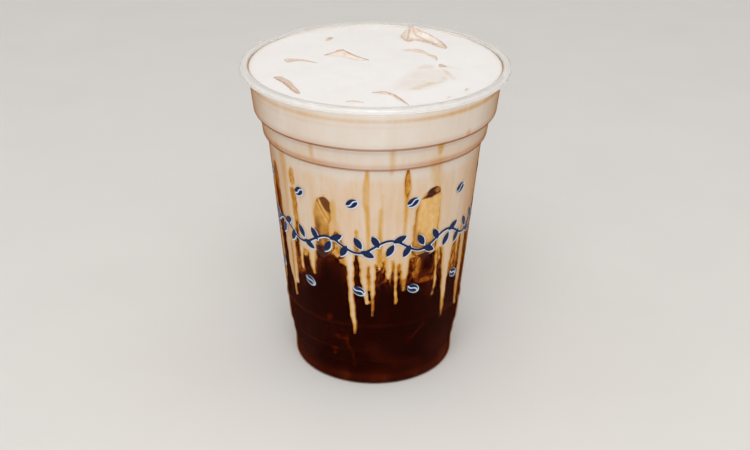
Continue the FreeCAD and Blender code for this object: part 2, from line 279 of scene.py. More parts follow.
class Ribbon:
    """A shape that runs down the wall: rows of (height, left turn, right turn), from the top down.

    Its two ends are rounded by the given heights, and its sides are smoothed between the rows.
    """

    def __init__(self, rows, top=0.0, tip=None, wobble=0.0):
        rows = np.array(rows, float)
        self.high, self.low = rows[0, 0], rows[-1, 0]
        self.heights = np.arange(self.low, self.high + ROW_STEP, ROW_STEP)
        left = np.interp(self.heights, rows[::-1, 0], rows[::-1, 1])
        right = np.interp(self.heights, rows[::-1, 0], rows[::-1, 2])
        self.left, self.right = self.soften(left), self.soften(right)
        middle = (self.left + self.right) / 2
        half = (self.right - self.left) / 2
        shrink = np.ones_like(half)
        tip = half[0] * MM_PER_DEGREE if tip is None else tip
        for length, distance in ((tip, self.heights - self.low), (top, self.high - self.heights)):
            if length > 0:
                share = np.clip(1.0 - distance / length, 0.0, 1.0)
                shrink *= np.sqrt(1.0 - share ** 2)
        half = half * shrink
        sway = wobble * np.sin(self.heights * 1.3 + self.low) if wobble else 0.0
        self.left, self.right = middle - half + sway, middle + half + sway

    @staticmethod
    def soften(side):
        """The side with its corners rounded over about 2 mm of height."""
        kernel = np.hanning(11)[1:-1]
        padded = np.pad(side, 4, mode="edge")
        return np.convolve(padded, kernel / kernel.sum(), mode="valid")

    def outside(self, turn, height):
        """About how far a point is outside the shape, in millimetres; negative inside it."""
        left = np.interp(height, self.heights, self.left)
        right = np.interp(height, self.heights, self.right)
        across = np.maximum(left - turn, turn - right) * MM_PER_DEGREE
        beyond = np.maximum(height - self.high, self.low - height)
        return np.where(beyond > 0, np.hypot(np.maximum(across, 0.0), beyond), across)


def joined(shapes, turn, height, blend=0.0):
    """How far a point is outside all of some shapes; blend rounds the corners where they meet."""
    result = np.full(np.broadcast(turn, height).shape, FAR)
    for shape in shapes:
        other = shape.outside(turn, height)
        result = melted(result, other, blend) if blend else np.minimum(result, other)
    return result


# Where the foam's lower edge runs between the drips: (turn, height).
FOAM_EDGE = np.array([(-180, 60), (-66, 60), (-53, 58), (-50, 56), (-44.5, 55.8), (-42, 55.5), (-35, 57.5),
                      (-27, 57), (-22, 56.5), (-19.5, 54), (-16.5, 53.5), (-12, 56), (-9, 56), (-3, 54), (1.2, 55),
                      (2, 53.6), (3, 52.3), (4.2, 53.4), (5, 56), (11, 56), (14.3, 54), (21.5, 56), (37, 57),
                      (41.5, 57), (54, 56), (60, 59), (62, 58), (70, 58), (180, 60)])

# The drips that face forwards, each as rows of (height, left turn, right turn).
FRONT_DRIPS = [Ribbon(rows) for rows in (
    [(64, -65.8, -53), (50, -64.6, -53.4), (45, -64.5, -53.9), (41, -62.6, -55), (38.6, -60.6, -56.5),
     (36, -60, -57.6), (32.4, -59.9, -57.1)],
    [(50, -58, -53.4), (44, -57.6, -53.8), (38.4, -56.4, -54)],
    [(64, -49.6, -44.5), (57, -49.5, -45.2), (52, -49, -46.5), (46.8, -48.4, -47)],
    [(64, -43.5, -34.9), (56, -42, -34.9), (52, -40.9, -35.3), (46.6, -39.2, -36.9)],
    [(64, -23, -11.6), (60, -16.3, -11.6), (50, -15.9, -11.6), (40, -15.4, -11.5), (33, -14.7, -10.6),
     (28.6, -13, -10.3), (23.8, -12.9, -10.8)],
    [(64, -9.4, -2.6), (55, -8.8, -3), (47, -7.8, -3.2), (42, -5.9, -3.2), (37.5, -5, -3.2)],
    [(64, -3.4, 1.6), (54, -2.9, 1.2), (46, -2.6, 0.9), (40, -1.9, 0.5), (37.4, -1.3, 0.7), (35.4, -1.3, 0),
     (32.2, -2, 0.1)],
    [(64, 4.8, 10.8), (57, 5, 10.9), (52, 6.2, 10.9), (48.3, 6.9, 10)],
    [(50, 9, 10.6), (45.8, 9.2, 10.2)],
    [(64, 10.9, 14.6), (52, 11.2, 14.2), (45, 12, 13.9), (40.6, 12.7, 13.9), (39.4, 12.1, 14.6), (37, 12.2, 14.5)],
    [(64, 14.8, 22.4), (55, 15.1, 21.4), (50, 15.2, 20.6), (46, 15.9, 19.9), (42.4, 16.6, 19.1)],
    [(64, 37.4, 40.4), (57, 37.4, 39.9), (50, 38.1, 40.3), (44, 39.1, 40.9), (40.8, 38.3, 40.3),
     (37.6, 37.1, 39.6)],
    [(64, 41.4, 54.5), (56, 42, 53.6), (50, 43.3, 52.4), (44, 44.9, 51), (36, 46.1, 50.6), (30.6, 47, 51.3),
     (28.8, 47.2, 50.2), (25.9, 47.4, 49.7)],
    [(64, 56, 60.4), (55, 56.4, 60.2), (50, 57, 60), (46.5, 57.6, 59.4)],
    [(64, 61.6, 69.5), (52, 62.2, 69.5), (44, 63, 70), (34, 62.8, 69.2), (26.4, 64, 68.6)],
)]

# Places where no foam hides what is behind it: the panes of ice on the wall, and narrow gaps, each
# from the rounding of its top and tip and its rows.
LEFT_PANE = Ribbon([(80.8, -30, -26), (79.6, -32, -24.8), (77.6, -33.4, -24.2), (75, -34.2, -24.2),
    (72, -34.6, -25), (68, -34.8, -26.6), (62, -34.9, -27.2), (56, -34.9, -27)], top=1.6)
RIGHT_PANE = Ribbon([(84.4, 32, 36.6), (83.6, 30, 37.2), (82.4, 28.2, 37.6), (80.6, 26.2, 37.9), (78.4, 24.2, 38),
    (75, 22.9, 38.1), (66, 22.4, 37.6), (56, 22.2, 37.3)], top=0.9)
FAR_LEFT_PANE = Ribbon([(86, -71, -68), (84, -73.6, -66.8), (80, -75.4, -66), (72, -76.4, -65.6),
    (66, -75.6, -65.8), (56, -77, -65)], top=1.6)
GAPS = [Ribbon(rows, top, tip) for top, tip, *rows in (
    (0.8, 0.9, (88.2, -50.4, -49), (86.6, -51.8, -48.4), (84, -52.8, -48.2), (82.2, -52.4, -48.8),
     (81, -51.4, -49.4)),
    (0.8, None, (80.4, -51.4, -49), (78.5, -52.6, -48.2), (74, -51.8, -47.8), (66, -50.8, -48.4),
     (60, -51.6, -48.9), (52, -53, -49.2), (46, -53.4, -49)),
    (0.8, 1.2, (93.6, 16.8, 17.5), (92, 16.2, 18.3), (89.5, 15.7, 18.8), (86.5, 15.8, 18.9), (84, 16.4, 18.4),
     (82.4, 16.9, 18)),
    (0.6, None, (68.6, -10.1, -9.7), (64, -10.4, -9.5), (58, -11, -9.1), (50, -11.6, -8.6)),
    (0.6, None, (54, -3.3, -2.9), (48, -3.5, -2.7), (42, -3.2, -2)),
    (0.6, None, (54.5, 14.4, 14.9), (50, 14.2, 15.4), (45, 13.9, 16)),
    (0.6, None, (58, 40.3, 41.6), (52, 40.4, 42.4), (45, 41, 45)),
    (0.6, None, (62, 60.4, 60.9), (54, 60.3, 61.9), (46, 60.4, 62.6)),
    (0.6, None, (67.5, -22.4, -21), (64, -22.7, -19), (60, -23, -16.9), (56, -27, -16.4)),
)]

BACK_DRIPS = 15
BACK_FROM, BACK_TO = 76.0, 290.0


def back_drips():
    """The drips that face away, spaced and sized by a formula."""
    drips = []
    for i in range(BACK_DRIPS):
        share = (i + 0.5) / BACK_DRIPS
        turn = BACK_FROM + (BACK_TO - BACK_FROM) * share + 2.4 * math.sin(2.7 * i)
        half = 3.4 + 1.3 * math.sin(1.9 * i + 0.6)
        end = 42.0 - 7.5 * math.sin(2.3 * i + 1.0)
        drips.append(Ribbon([(66, turn - half * 1.9, turn + half * 1.9), (57, turn - half, turn + half),
                             ((57 + end) / 2, turn - half * 0.8, turn + half * 0.9),
                             (end + 3.4, turn - half * 0.42, turn + half * 0.46),
                             (end, turn - half * 0.55, turn + half * 0.52)], wobble=0.25))
    return drips


DRIPS = FRONT_DRIPS + back_drips()
DRIP_BLEND = 0.9


def foam_outside(turn, height):
    """How far a point of the wall is outside the foam that touches it."""
    here = facing(turn)
    line = np.interp(from_front(here), FOAM_EDGE[:, 0], FOAM_EDGE[:, 1])
    foam = melted(line - height, joined(DRIPS, here, height, DRIP_BLEND), DRIP_BLEND)
    open_places = joined(GAPS + [LEFT_PANE, RIGHT_PANE], here, height)
    open_places = np.minimum(open_places, FAR_LEFT_PANE.outside(turn, height))
    ripple = 0.16 * np.sin(0.83 * height + 0.61 * turn) + 0.10 * np.sin(1.87 * height - 0.43 * turn + 1.0)
    return np.maximum(foam, -open_places) + ripple * smoothstep(92.0, 80.0, height)


def skin(name, outside, across, up, scale, place, rim_place, closed=False):
    """A thin skin over a grid wherever outside() is negative, with its rim turned in.

    across and up are the grid's two coordinates, and scale is the millimetres in one step of 1
    across.  place and rim_place turn coordinates into points, on the skin and on its turned edge.
    Returns the piece and the two coordinates and the depth inside the outline of each vertex.
    """
    v, u = np.meshgrid(up, across, indexing="ij")
    value = outside(u, v)
    faces = grid_faces(len(up), len(across), closed)
    faces = faces[(value.ravel()[faces] < 0).any(axis=1)]
    used = np.unique(faces)
    u, v, value = u.ravel()[used], v.ravel()[used], value.ravel()[used]
    faces = np.searchsorted(used, faces)
    beyond = value >= 0
    probe = 0.05
    for _ in range(4):
        su, sv = u[beyond], v[beyond]
        slope_u = (outside(su + probe, sv) - outside(su - probe, sv)) / (2 * probe * scale)
        slope_v = (outside(su, sv + probe) - outside(su, sv - probe)) / (2 * probe)
        reach = np.clip(outside(su, sv), -0.6, 0.6) / np.maximum(slope_u ** 2 + slope_v ** 2, 0.15)
        u[beyond] = su - reach * slope_u / scale
        v[beyond] = np.clip(sv - reach * slope_v, up[0], up[-1])
    depth = np.where(beyond, 0.0, -value)

    edges = np.stack([faces, np.roll(faces, -1, axis=1)], axis=-1).reshape(-1, 2)
    _, first, count = np.unique(np.sort(edges, axis=1), axis=0, return_index=True, return_counts=True)
    border = edges[first[count == 1]]
    corners = np.unique(border)
    turned_in = np.searchsorted(corners, border) + len(u)
    rim_faces = np.stack([border[:, 1], border[:, 0], turned_in[:, 0], turned_in[:, 1]], axis=1)
    points = np.concatenate([place(u, v), rim_place(u[corners], v[corners])])
    piece = make_piece(name, points, np.concatenate([faces, rim_faces]))
    return (piece, *(np.concatenate([w, w[corners]]) for w in (u, v, depth)))


def wall_skin(name, outside, turns, path, rim=0.5, closed=False):
    """A skin that follows a path of (radius, height) round the axis; its rim turns inwards."""
    def radius(height):
        return np.interp(height, path[:, 1], path[:, 0])
    return skin(name, outside, turns, path[:, 1], MM_PER_DEGREE, lambda t, h: on_axis(radius(h), h, t),
                lambda t, h: on_axis(radius(h) - rim, h, t), closed)


def closed_curve(points, count=6):
    """A smooth closed curve through some points."""
    points = np.array(points, float)
    share = np.linspace(0, 1, count, endpoint=False)[:, None]
    before, after, later = (np.roll(points, k, axis=0) for k in (1, -1, -2))
    curve = []
    for p0, p1, p2, p3 in zip(before, points, after, later):
        curve.append(0.5 * (2 * p1 + (p2 - p0) * share + (2 * p0 - 5 * p1 + 4 * p2 - p3) * share ** 2
                            + (3 * p1 - p0 - 3 * p2 + p3) * share ** 3))
    return np.concatenate(curve)


def line_distance(points, x, y, closed):
    """The distance of points in a plane from a line, and the nearest place along it, counted in corners."""
    best = np.full(np.shape(x), np.inf)
    along = np.zeros(np.shape(x))
    ends = np.roll(points, -1, axis=0) if closed else points[1:]
    for i, (a, b) in enumerate(zip(points, ends)):
        step = b - a
        share = np.clip(((x - a[0]) * step[0] + (y - a[1]) * step[1]) / max(step @ step, 1e-9), 0, 1)
        distance = np.hypot(x - a[0] - share * step[0], y - a[1] - share * step[1])
        closer = distance < best
        best = np.where(closer, distance, best)
        along = np.where(closer, i + share, along)
    return best, along


def outline_distance(curve, x, y):
    """How far points are outside a closed curve; negative inside."""
    distance, _ = line_distance(curve, x, y, True)
    inside = np.zeros(np.shape(x), bool)
    for (x0, y0), (x1, y1) in zip(curve, np.roll(curve, -1, axis=0)):
        crosses = (y0 > y) != (y1 > y)
        inside ^= crosses & (x < (x1 - x0) * (y - y0) / (y1 - y0 + 1e-12) + x0)
    return np.where(inside, -distance, distance)


# ---- Tones painted on the drink where it touches the wall ----


def patches(*entries):
    """Patches, each from its tone, how softly it ends, how its top and tip are rounded, and its rows."""
    return [(Ribbon(rows, top, tip), tone, soft) for tone, soft, top, tip, *rows in entries]


# Tones run from 0, white foam, over cream, tan, gold and amber to 1, coffee.
FOAM_PATCHES = patches(
    (0.44, 1.6, 6, 6, (96, -60, -56), (90, -60, -55), (80, -59, -56), (66, -58.8, -57), (40, -58.6, -57.3)),
    (0.66, 0.8, 3, 3, (56, -58.6, -57.4), (48, -58.8, -57.2), (40, -58.6, -57.8)),
    (0.58, 1.5, 0, None, (36, -60, -57.2), (32, -60, -57)),
    (0.56, 0.9, 3, 6, (88, 16, 19), (80, 16.4, 18.2), (66, 16.2, 17.4)),
    (0.56, 0.6, 3, 5, (94, -4.4, -3), (90.5, -4.8, -2.8), (87, -5.6, -2.8), (80, -6.2, -2.9), (76, -4.6, -2.6),
     (60, -3.8, -2.5)),
    (0.46, 0.8, 2, 3, (90, -4.6, -3.4), (80, -5.2, -3.6)),
    (0.4, 1.2, 3, 4, (103, 7.8, 9.2), (92, 8, 9)),
    (0.4, 1.2, 2, 2, (103, -32.6, -31.4), (97, -32.4, -31.6)),
    (0.56, 1, 1, 2, (103, 31.5, 34.5), (98, 32, 34)),
    (0.41, 2.4, 3, 3, (97, 29, 35), (84, 33.5, 38.5)),
    (0.42, 0.8, 4, 2, (84, 3.6, 4.4), (60, 3.5, 4.6)),
    (0.46, 1, 2, 2, (105.5, 46, 48), (102, 46.2, 47.8)),
    (0.62, 1, 3, 1, (78, 3.2, 4.2), (70, 2.9, 3.6), (65, 2.5, 3.8), (58, 1.8, 4.8), (52, 1.6, 4.6)),
    (0.2, 0.5, 0.8, 0.8, (53.6, 2.2, 3.9), (51.6, 2.4, 3.7)),
    (0.5, 1.8, 2, 1, (79.5, -23.4, -21.8), (74, -24.2, -21), (66, -26, -19.5), (57, -26.6, -17.5)),
    (0.66, 1.2, 1, 1, (58, -28, -17.5), (53.6, -24, -15.9)),
    (0.56, 1, 3, 1, (60, 5, 7.2), (54, 5.3, 7.4), (51, 6.4, 8)),
    (0.64, 0.9, 2, 0.5, (52, 10.3, 11.4), (45.4, 9.6, 11)),
    (0.6, 1, 5, 0.5, (45, -12.2, -10.2), (36, -11.4, -10), (28, -11.2, -10), (23, -12.4, -10.4)),
    (0.52, 1, 3, 0.5, (40, -1.6, 1), (32, -2.4, 0.6)),
    (0.52, 1, 2, 0.5, (40, 11.6, 15), (36.6, 11.6, 15)),
    (0.64, 1.2, 3, 0.5, (48, 16, 20.4), (41.8, 16, 19.6)),
    (0.66, 1.2, 3, 1, (60, 21, 24.6), (44, 19.8, 24.6)),
    (0.62, 1, 2, 0.5, (41, 36.8, 40.4), (37, 36.8, 40.4)),
    (0.55, 1, 3, 3, (64, 36.4, 38.8), (48, 36.8, 39.4)),
    (0.62, 1.2, 4, 3, (58, 41.6, 44), (48, 42.8, 45.4), (38, 44.6, 46.6), (30, 46.4, 48)),
    (0.6, 1.4, 4, 0.5, (34, 46, 52), (25.4, 46.6, 50.6)),
    (0.62, 1.8, 4, 2, (58, 53, 57), (47, 52, 57)),
    (0.6, 1.4, 4, 0.5, (56, 57, 60.6), (46, 57, 60.4)),
    (0.6, 1.8, 4, 0.5, (37, 62, 70), (26, 63, 70)),
    (0.62, 1.8, 4, 2, (62, 69.5, 74.5), (30, 68, 73.5)),
    (0.5, 1, 2, 0.5, (49, -39.6, -37), (46, -39.6, -37)),
    (0.6, 0.8, 1, 3, (57.5, -36.2, -34.2), (48, -37.6, -35.4)),
)

# Where the coffee itself is lighter: 0 for the darkest coffee, 1 for the palest amber.
COFFEE_PATCHES = patches(
    (0.8, 1.4, 1, 4, (90, -53.5, -48), (78, -54, -47), (66, -51.8, -47.4)),
    (0.26, 1.2, 3, 3, (66, -53, -47.4), (44, -54.5, -47)),
    (0.78, 1, 1, 2, (57, -46.4, -41), (53, -46.4, -42.6)),
    (0.7, 4, 0, 2, (88, -80, -64), (66, -80, -64)),
    (0.42, 4, 4, 2, (76, -80, -69), (58, -80, -68)),
    (0.34, 0.5, 0, 0.4, (26.6, 34.6, 35.8), (23.6, 29.4, 30.4), (20, 23.4, 24.2)),
    (0.34, 0.5, 0, 0.4, (22.6, 22.2, 22.8), (19.6, 22.6, 23.6)),
    (0.66, 0.8, 0, None, (96, 14, 20), (81, 14, 20)),
    (0.9, 0.9, 2, 1, (91.5, 16.9, 18.8), (82, 17, 18.8)),
    (0.74, 1.4, 1, 3, (69, -10.4, -9.3), (58, -11.4, -8.6)),
    (0.6, 1, 1, 3, (56, -3.8, -2.4), (44, -3.8, -1.6)),
    (0.78, 1.2, 1, 2, (68.5, -23.6, -18), (57, -28, -15.6)),
    (0.55, 2.2, 1, 1, (58, 24, 28.6), (47, 24, 28.6)),
    (0.24, 1.4, 1, 1, (50, 27, 37), (46.4, 27, 37)),
    (0.42, 1, 1, 1, (47, 24.5, 41.6), (44.6, 25.2, 41)),
    (0.46, 2.2, 2, 3, (58, 51, 61.6), (43, 50.6, 61)),
    (0.44, 2, 2, 4, (60, 70.5, 76), (40, 70.5, 75), (26, 71, 74)),
    (0.66, 1.2, 2, 3, (60, 39.6, 42.2), (52, 39.8, 43)),
)

# The tones of the two panes: 0 for coffee, 1 for pale melt water.
LEFT_PANE_PATCHES = patches(
    (0.3, 1.4, 1, 2, (81, -33, -22), (77.5, -31, -22), (75, -28, -22)),
    (0.78, 0.5, 1, 1, (79.8, -32.2, -31), (77.6, -31, -29.6), (75.4, -28.8, -27.4), (72.6, -26.4, -25)),
    (0.74, 0.5, 1, 1, (78, -33.4, -32.2), (75.6, -32, -30.6), (73.2, -29.6, -28.2), (70.4, -27.4, -26)),
    (0.38, 2, 3, 2, (71, -34.8, -33), (64, -34.8, -29), (58, -35.2, -26)),
    (0.62, 1.4, 2, 2, (68, -31, -29.6), (60, -31.6, -29.4)),
    (0.12, 1.8, 2, 2, (60, -36, -26), (50, -36, -26)),
)
RIGHT_PANE_PATCHES = patches(
    (0.18, 0.7, 1, 0, (86, 26, 39), (81.6, 30, 39), (80.6, 26, 31)),
    (0.48, 0.9, 1, 1, (84, 34.4, 37.2), (81.8, 34, 37.4)),
    (0.5, 1, 3, 2, (79, 23.4, 24.6), (74, 22.2, 23.6), (64, 21.8, 23.4), (58, 21.8, 24.4)),
    (0.62, 1.6, 3, 2, (67, 24, 27), (60, 23.5, 29)),
    (0.58, 2.2, 3, 1, (62, 21.5, 38), (57, 21.5, 38)),
    (0.14, 1.6, 1, 1, (57.6, 24.5, 37.5), (50, 24.5, 37.5)),
)

# Where ice deep in the coffee catches the light.
GLINTS = Ribbon([(31, -38, -22), (22, -37, -15), (14, -34, -10), (8, -24, -8)], top=3, tip=3)

# How strong the swirls of cream under the foam are: (turn, share).
FRINGE = np.array([(-180, 0.5), (-60, 0.4), (-50, 0.5), (-45, 1), (-36, 0.7), (-26, 0.5), (-20, 1), (-15, 0.6),
                   (-8, 0.3), (-2, 0.4), (2, 0.9), (8, 1), (12, 0.5), (20, 0.9), (26, 1), (34, 0.5), (40, 0.6),
                   (52, 1), (60, 0.8), (72, 1), (180, 0.5)])

# The foam's tone up the wall, and the bands round it, with a paler tone just under the upper ledge as painted light
# against its shade: (height, tone).
FOAM_LEVELS = np.array([(22, 0.37), (46, 0.33), (58, 0.31), (64, 0.30), (82, 0.30), (88, 0.27), (91.5, 0.17),
                        (93, 0.15), (94.5, 0.21), (96, 0.21), (99, 0.17), (101, 0.13), (102.5, 0.14), (103.6, 0.13),
                        (113, 0.12), (119, 0.10)])

# Brown lines along the grooves, part dried coffee and part painted shade where the wall steps in, the one at 100.7
# painted shade under the upper ledge: height, reach, and how brown they are in front and at the sides.
GROOVES = ((102.85, 0.6, 0.70, 1.0), (100.7, 0.4, 0.12, 0.16), (103.9, 0.8, 0.10, 0.20), (94.15, 0.6, 0.68, 1.0),
           (95.3, 1.0, 0.24, 0.46))

# Where the wall's low rings and heel catch light over the coffee: height, reach and gain.
COFFEE_RINGS = ((27.9, 0.4, 0.14), (16.2, 0.4, 0.12), (10.3, 0.4, 0.06), (6.4, 0.4, 0.12))


def painted(base, patches, turn, height):
    """The base tones with each patch laid over them in turn."""
    for shape, tone, soft in patches:
        share = smoothstep(soft, -soft * 0.6, shape.outside(turn, height))
        base = base + (tone - base) * share
    return base


def foam_tones(turn, height, depth):
    """The tone of the foam along the wall: cream at the top, more stained down the drips; painted shade darkens the
    bands away from the front, and a painted golden line runs under the lip.
    """
    here = facing(turn)
    turn = from_front(turn)
    tone = np.interp(height, FOAM_LEVELS[:, 0], FOAM_LEVELS[:, 1])
    # Painted shade: the bands are darker everywhere but in front.
    tone = tone + 0.06 * smoothstep(4.0, 32.0, np.abs(turn)) * smoothstep(90.0, 96.0, height)
    # Painted light: a golden line that the lip's curl casts on the foam just under it, stronger on the right, with
    # a fainter one lower on the left.
    right = smoothstep(0.0, 40.0, turn) * smoothstep(180.0, 90.0, turn)
    tone = tone + (0.18 + 0.10 * right) * bell(height - 113.9, 0.8)
    tone = tone + 0.07 * bell(height - 111.6, 0.5) * (1.0 - right)
    tone = painted(tone, FOAM_PATCHES, here, height)
    low = smoothstep(88.0, 58.0, height)
    edge = smoothstep(1.0, 0.0, depth) * (0.16 + 0.22 * low)
    lobe = 0.10 * np.sin(here * 0.31) * np.sin(height * 0.21 + here * 0.05)
    return np.clip(tone + edge + lobe * low * smoothstep(3.0, 0.0, depth), 0.0, 1.0)


def groove_stain_and_shade(turn, height):
    """How brown the foam is along the grooves under the rings: part dried coffee, part painted shade, stronger at
    the sides.
    """
    aside = smoothstep(2.0, 30.0, np.abs(from_front(turn)))
    stain = np.zeros(np.shape(height))
    for level, reach, middle, side in GROOVES:
        stain = np.maximum(stain, (middle + (side - middle) * aside) * bell(height - level, reach))
    return stain


def coffee_tones(turn, height):
    """How pale the coffee is along the wall, with painted light at its sides and in the heel."""
    here = from_front(turn)
    # Painted light: the coffee is paler round its sides, where light comes through it at the edges.
    side = smoothstep(30.0, 75.0, np.abs(here)) * smoothstep(150.0, 105.0, np.abs(here))
    tone = 0.12 * side
    for level, reach, gain in COFFEE_RINGS:
        tone = tone + gain * bell(height - level, reach) * (0.5 + 1.8 * side)
    # Painted light coming up through the thin coffee in the heel.
    tone = tone + 0.17 * smoothstep(5.6, 4.2, height)
    return np.clip(painted(tone, COFFEE_PATCHES, here, height), 0.0, 1.0)


def coffee_fringe(turn, height):
    """Where cream swirls into the coffee, just outside the foam."""
    share = 0.45 + 0.55 * np.interp(from_front(turn), FRINGE[:, 0], FRINGE[:, 1])
    near = smoothstep(4.5, 0.4, foam_outside(turn, height))
    return near * smoothstep(40.0, 48.0, height) * smoothstep(70.0, 62.0, height) * share


# ---- Materials ----


def rgb(code):
    """A linear colour from its display code."""
    parts = [int(code[i:i + 2], 16) / 255.0 for i in (0, 2, 4)]
    return tuple(p / 12.92 if p <= 0.04045 else ((p + 0.055) / 1.055) ** 2.4 for p in parts) + (1.0,)


class Shader:
    """The nodes of a material or a world, with short ways to add them."""

    def __init__(self, owner, output="ShaderNodeOutputMaterial"):
        owner.use_nodes = True
        self.owner = owner
        self.tree = owner.node_tree
        self.tree.nodes.clear()
        self.output = self.tree.nodes.new(output)

    def add(self, kind, settings=None, **inputs):
        """A node; inputs are sockets to link or values to set, by name with _ for a space, or as n0, n1."""
        node = self.tree.nodes.new(kind)
        for key, value in (settings or {}).items():
            setattr(node, key, value)
        for key, value in inputs.items():
            numbered = key[0] == "n" and key[1:].isdigit()
            socket = node.inputs[int(key[1:]) if numbered else key.replace("_", " ")]
            if isinstance(value, bpy.types.NodeSocket):
                self.tree.links.new(value, socket)
            else:
                socket.default_value = value
        return node

    def mask(self, name):
        return self.add("ShaderNodeAttribute", {"attribute_name": name}).outputs["Fac"]

    def math(self, operation, a, b, clamp=False):
        return self.add("ShaderNodeMath", {"operation": operation, "use_clamp": clamp}, n0=a, n1=b).outputs[0]

    def scaled(self, where, scale):
        return self.add("ShaderNodeVectorMath", {"operation": "MULTIPLY"}, n0=where, n1=scale).outputs[0]

    def place(self, tall=1.0):
        """Object coordinates in millimetres; tall below 1 draws a texture out upwards."""
        return self.scaled(self.add("ShaderNodeTexCoord").outputs["Object"], (1 / MM, 1 / MM, tall / MM))

    def noise(self, scale, detail=3.0, tall=1.0, rough=0.5, twist=0.0):
        return self.add("ShaderNodeTexNoise", Vector=self.place(tall), Scale=scale, Detail=detail,
                        Roughness=rough, Distortion=twist).outputs["Fac"]

    def remap(self, value, from_low, from_high, to_low=0.0, to_high=1.0):
        return self.add("ShaderNodeMapRange", {"clamp": True}, Value=value, From_Min=from_low, From_Max=from_high,
                        To_Min=to_low, To_Max=to_high).outputs[0]

    def grain(self, noise, *ends):
        """Noise with some settings, remapped between some ends."""
        return self.remap(self.noise(*noise), *ends)

    def ramp(self, value, stops):
        node = self.add("ShaderNodeValToRGB", Fac=value)
        row = node.color_ramp.elements
        while len(row) < len(stops):
            row.new(1.0)
        for element, (position, code) in zip(row, stops):
            element.position = position
            element.color = rgb(code)
        return node.outputs["Color"]

    def mix(self, share, a, b):
        node = self.add("ShaderNodeMix", {"data_type": "RGBA", "clamp_factor": True}, n0=share, n6=a, n7=b)
        return node.outputs[2]

    def blend(self, share, a, b):
        """Two shaders mixed."""
        return self.add("ShaderNodeMixShader", n0=share, n1=a, n2=b).outputs[0]

    def bump(self, height, distance, strength):
        relief = self.add("ShaderNodeBump", Height=height, Distance=distance * MM, Strength=strength)
        return relief.outputs["Normal"]

    def surface(self, **inputs):
        return self.add("ShaderNodeBsdfPrincipled", **inputs).outputs[0]

    def finish(self, shader):
        self.tree.links.new(shader, self.output.inputs["Surface"])
        return self.owner


def new_material(name):
    return Shader(bpy.data.materials.new(name))


# Display colours along the tones of the foam, the coffee and the panes.
FOAM_RAMP = [(0, "EAE4DC"), (0.12, "E0D7CD"), (0.24, "DBCAB8"), (0.3, "DBC1A6"), (0.4, "D5B58C"),
             (0.52, "D3A660"), (0.62, "C8923A"), (0.72, "B0721E"), (0.85, "804010"), (1, "3A1206")]
COFFEE_RAMP = [(0, "190100"), (0.18, "350A02"), (0.38, "5A200A"), (0.58, "924A10"), (0.78, "B67A26"),
               (1, "D4A45C")]
PANE_RAMP = [(0, "240500"), (0.2, "4E1A08"), (0.4, "86501C"), (0.6, "BC8434"), (0.8, "DDB06A"), (1, "EBD2AC")]

# How much of the full Fresnel reflection the thin wall shows, and the most it reaches at its edges.
WALL_GLOSS = 0.10
MOST_GLOSS = 0.06

# Painted lines round the curled lip, standing in for the drink refracted through the curl: distance from the axis
# and strength.
LIP_REFRACTION_LINES = ((46.75, 0.30), (47.7, 0.20), (48.5, 0.18))
LIP_REFRACTION_REACH = 0.28


def clear_plastic():
    """Thin clear PET: glossy, with slow waves from drawing, and milky in the thick curled lip; painted light gives
    it a brown tint at grazing angles, lines round the curl and a highlight along the lip's edge.
    """
    pet = new_material("clear_pet")
    bend = pet.bump(pet.noise(0.05, 2.0, 0.35), 0.25, 0.35)
    gloss = pet.math("MULTIPLY", pet.add("ShaderNodeFresnel", IOR=1.45, Normal=bend).outputs[0], WALL_GLOSS)
    gloss = pet.math("MINIMUM", gloss, MOST_GLOSS)
    # Painted light: at grazing angles the wall's see-through and its gloss turn brown, standing in for the brown
    # its edges refract and reflect.
    slant = pet.add("ShaderNodeLayerWeight", Blend=0.5).outputs["Facing"]
    tint = pet.ramp(slant, [(0.52, "FFFFFF"), (0.76, "EEDFD0"), (0.90, "DDBE9E"), (1.0, "C89868")])
    clear = pet.add("ShaderNodeBsdfTransparent", Color=tint).outputs[0]
    painted_edge_reflection = pet.ramp(slant, [(0.5, "FFFFFF"), (0.8, "C87848")])
    rough = pet.grain((1.1, 2.0), 0.3, 0.8, 0.04, 0.09)
    shine = pet.add("ShaderNodeBsdfGlossy", Color=painted_edge_reflection, Roughness=rough, Normal=bend).outputs[0]
    haze = pet.mix(pet.grain((0.3, 3.0), 0.3, 0.7), rgb("F6F4F2"), rgb("FCFBFA"))
    around = pet.scaled(pet.place(), (1.0, 1.0, 0.0))
    radius = pet.add("ShaderNodeVectorMath", {"operation": "LENGTH"}, n0=around).outputs["Value"]
    # Painted refraction: brownish lines round the curl.
    for line, strength in LIP_REFRACTION_LINES:
        off = pet.math("ABSOLUTE", pet.math("SUBTRACT", radius, line), 0.0)
        haze = pet.mix(pet.remap(off, 0.0, LIP_REFRACTION_REACH, strength, 0.0), haze, rgb("A8917A"))
    # Painted highlight: along the lip's lower edge the curl turns opaque white.
    painted_lip_highlight = pet.mask("painted_lip_highlight")
    haze = pet.mix(painted_lip_highlight, haze, rgb("FFFFFF"))
    curl = pet.surface(Base_Color=haze, Transmission_Weight=pet.remap(painted_lip_highlight, 0.0, 1.0, 0.58, 0.0), IOR=1.46,
                       Roughness=0.07, Normal=bend)
    body = pet.blend(pet.mask("lip"), pet.blend(gloss, clear, shine), curl)
    # Light from the lamps goes straight through to what is behind.
    through = pet.add("ShaderNodeBsdfTransparent").outputs[0]
    return pet.finish(pet.blend(pet.add("ShaderNodeLightPath").outputs["Is Shadow Ray"], body, through))


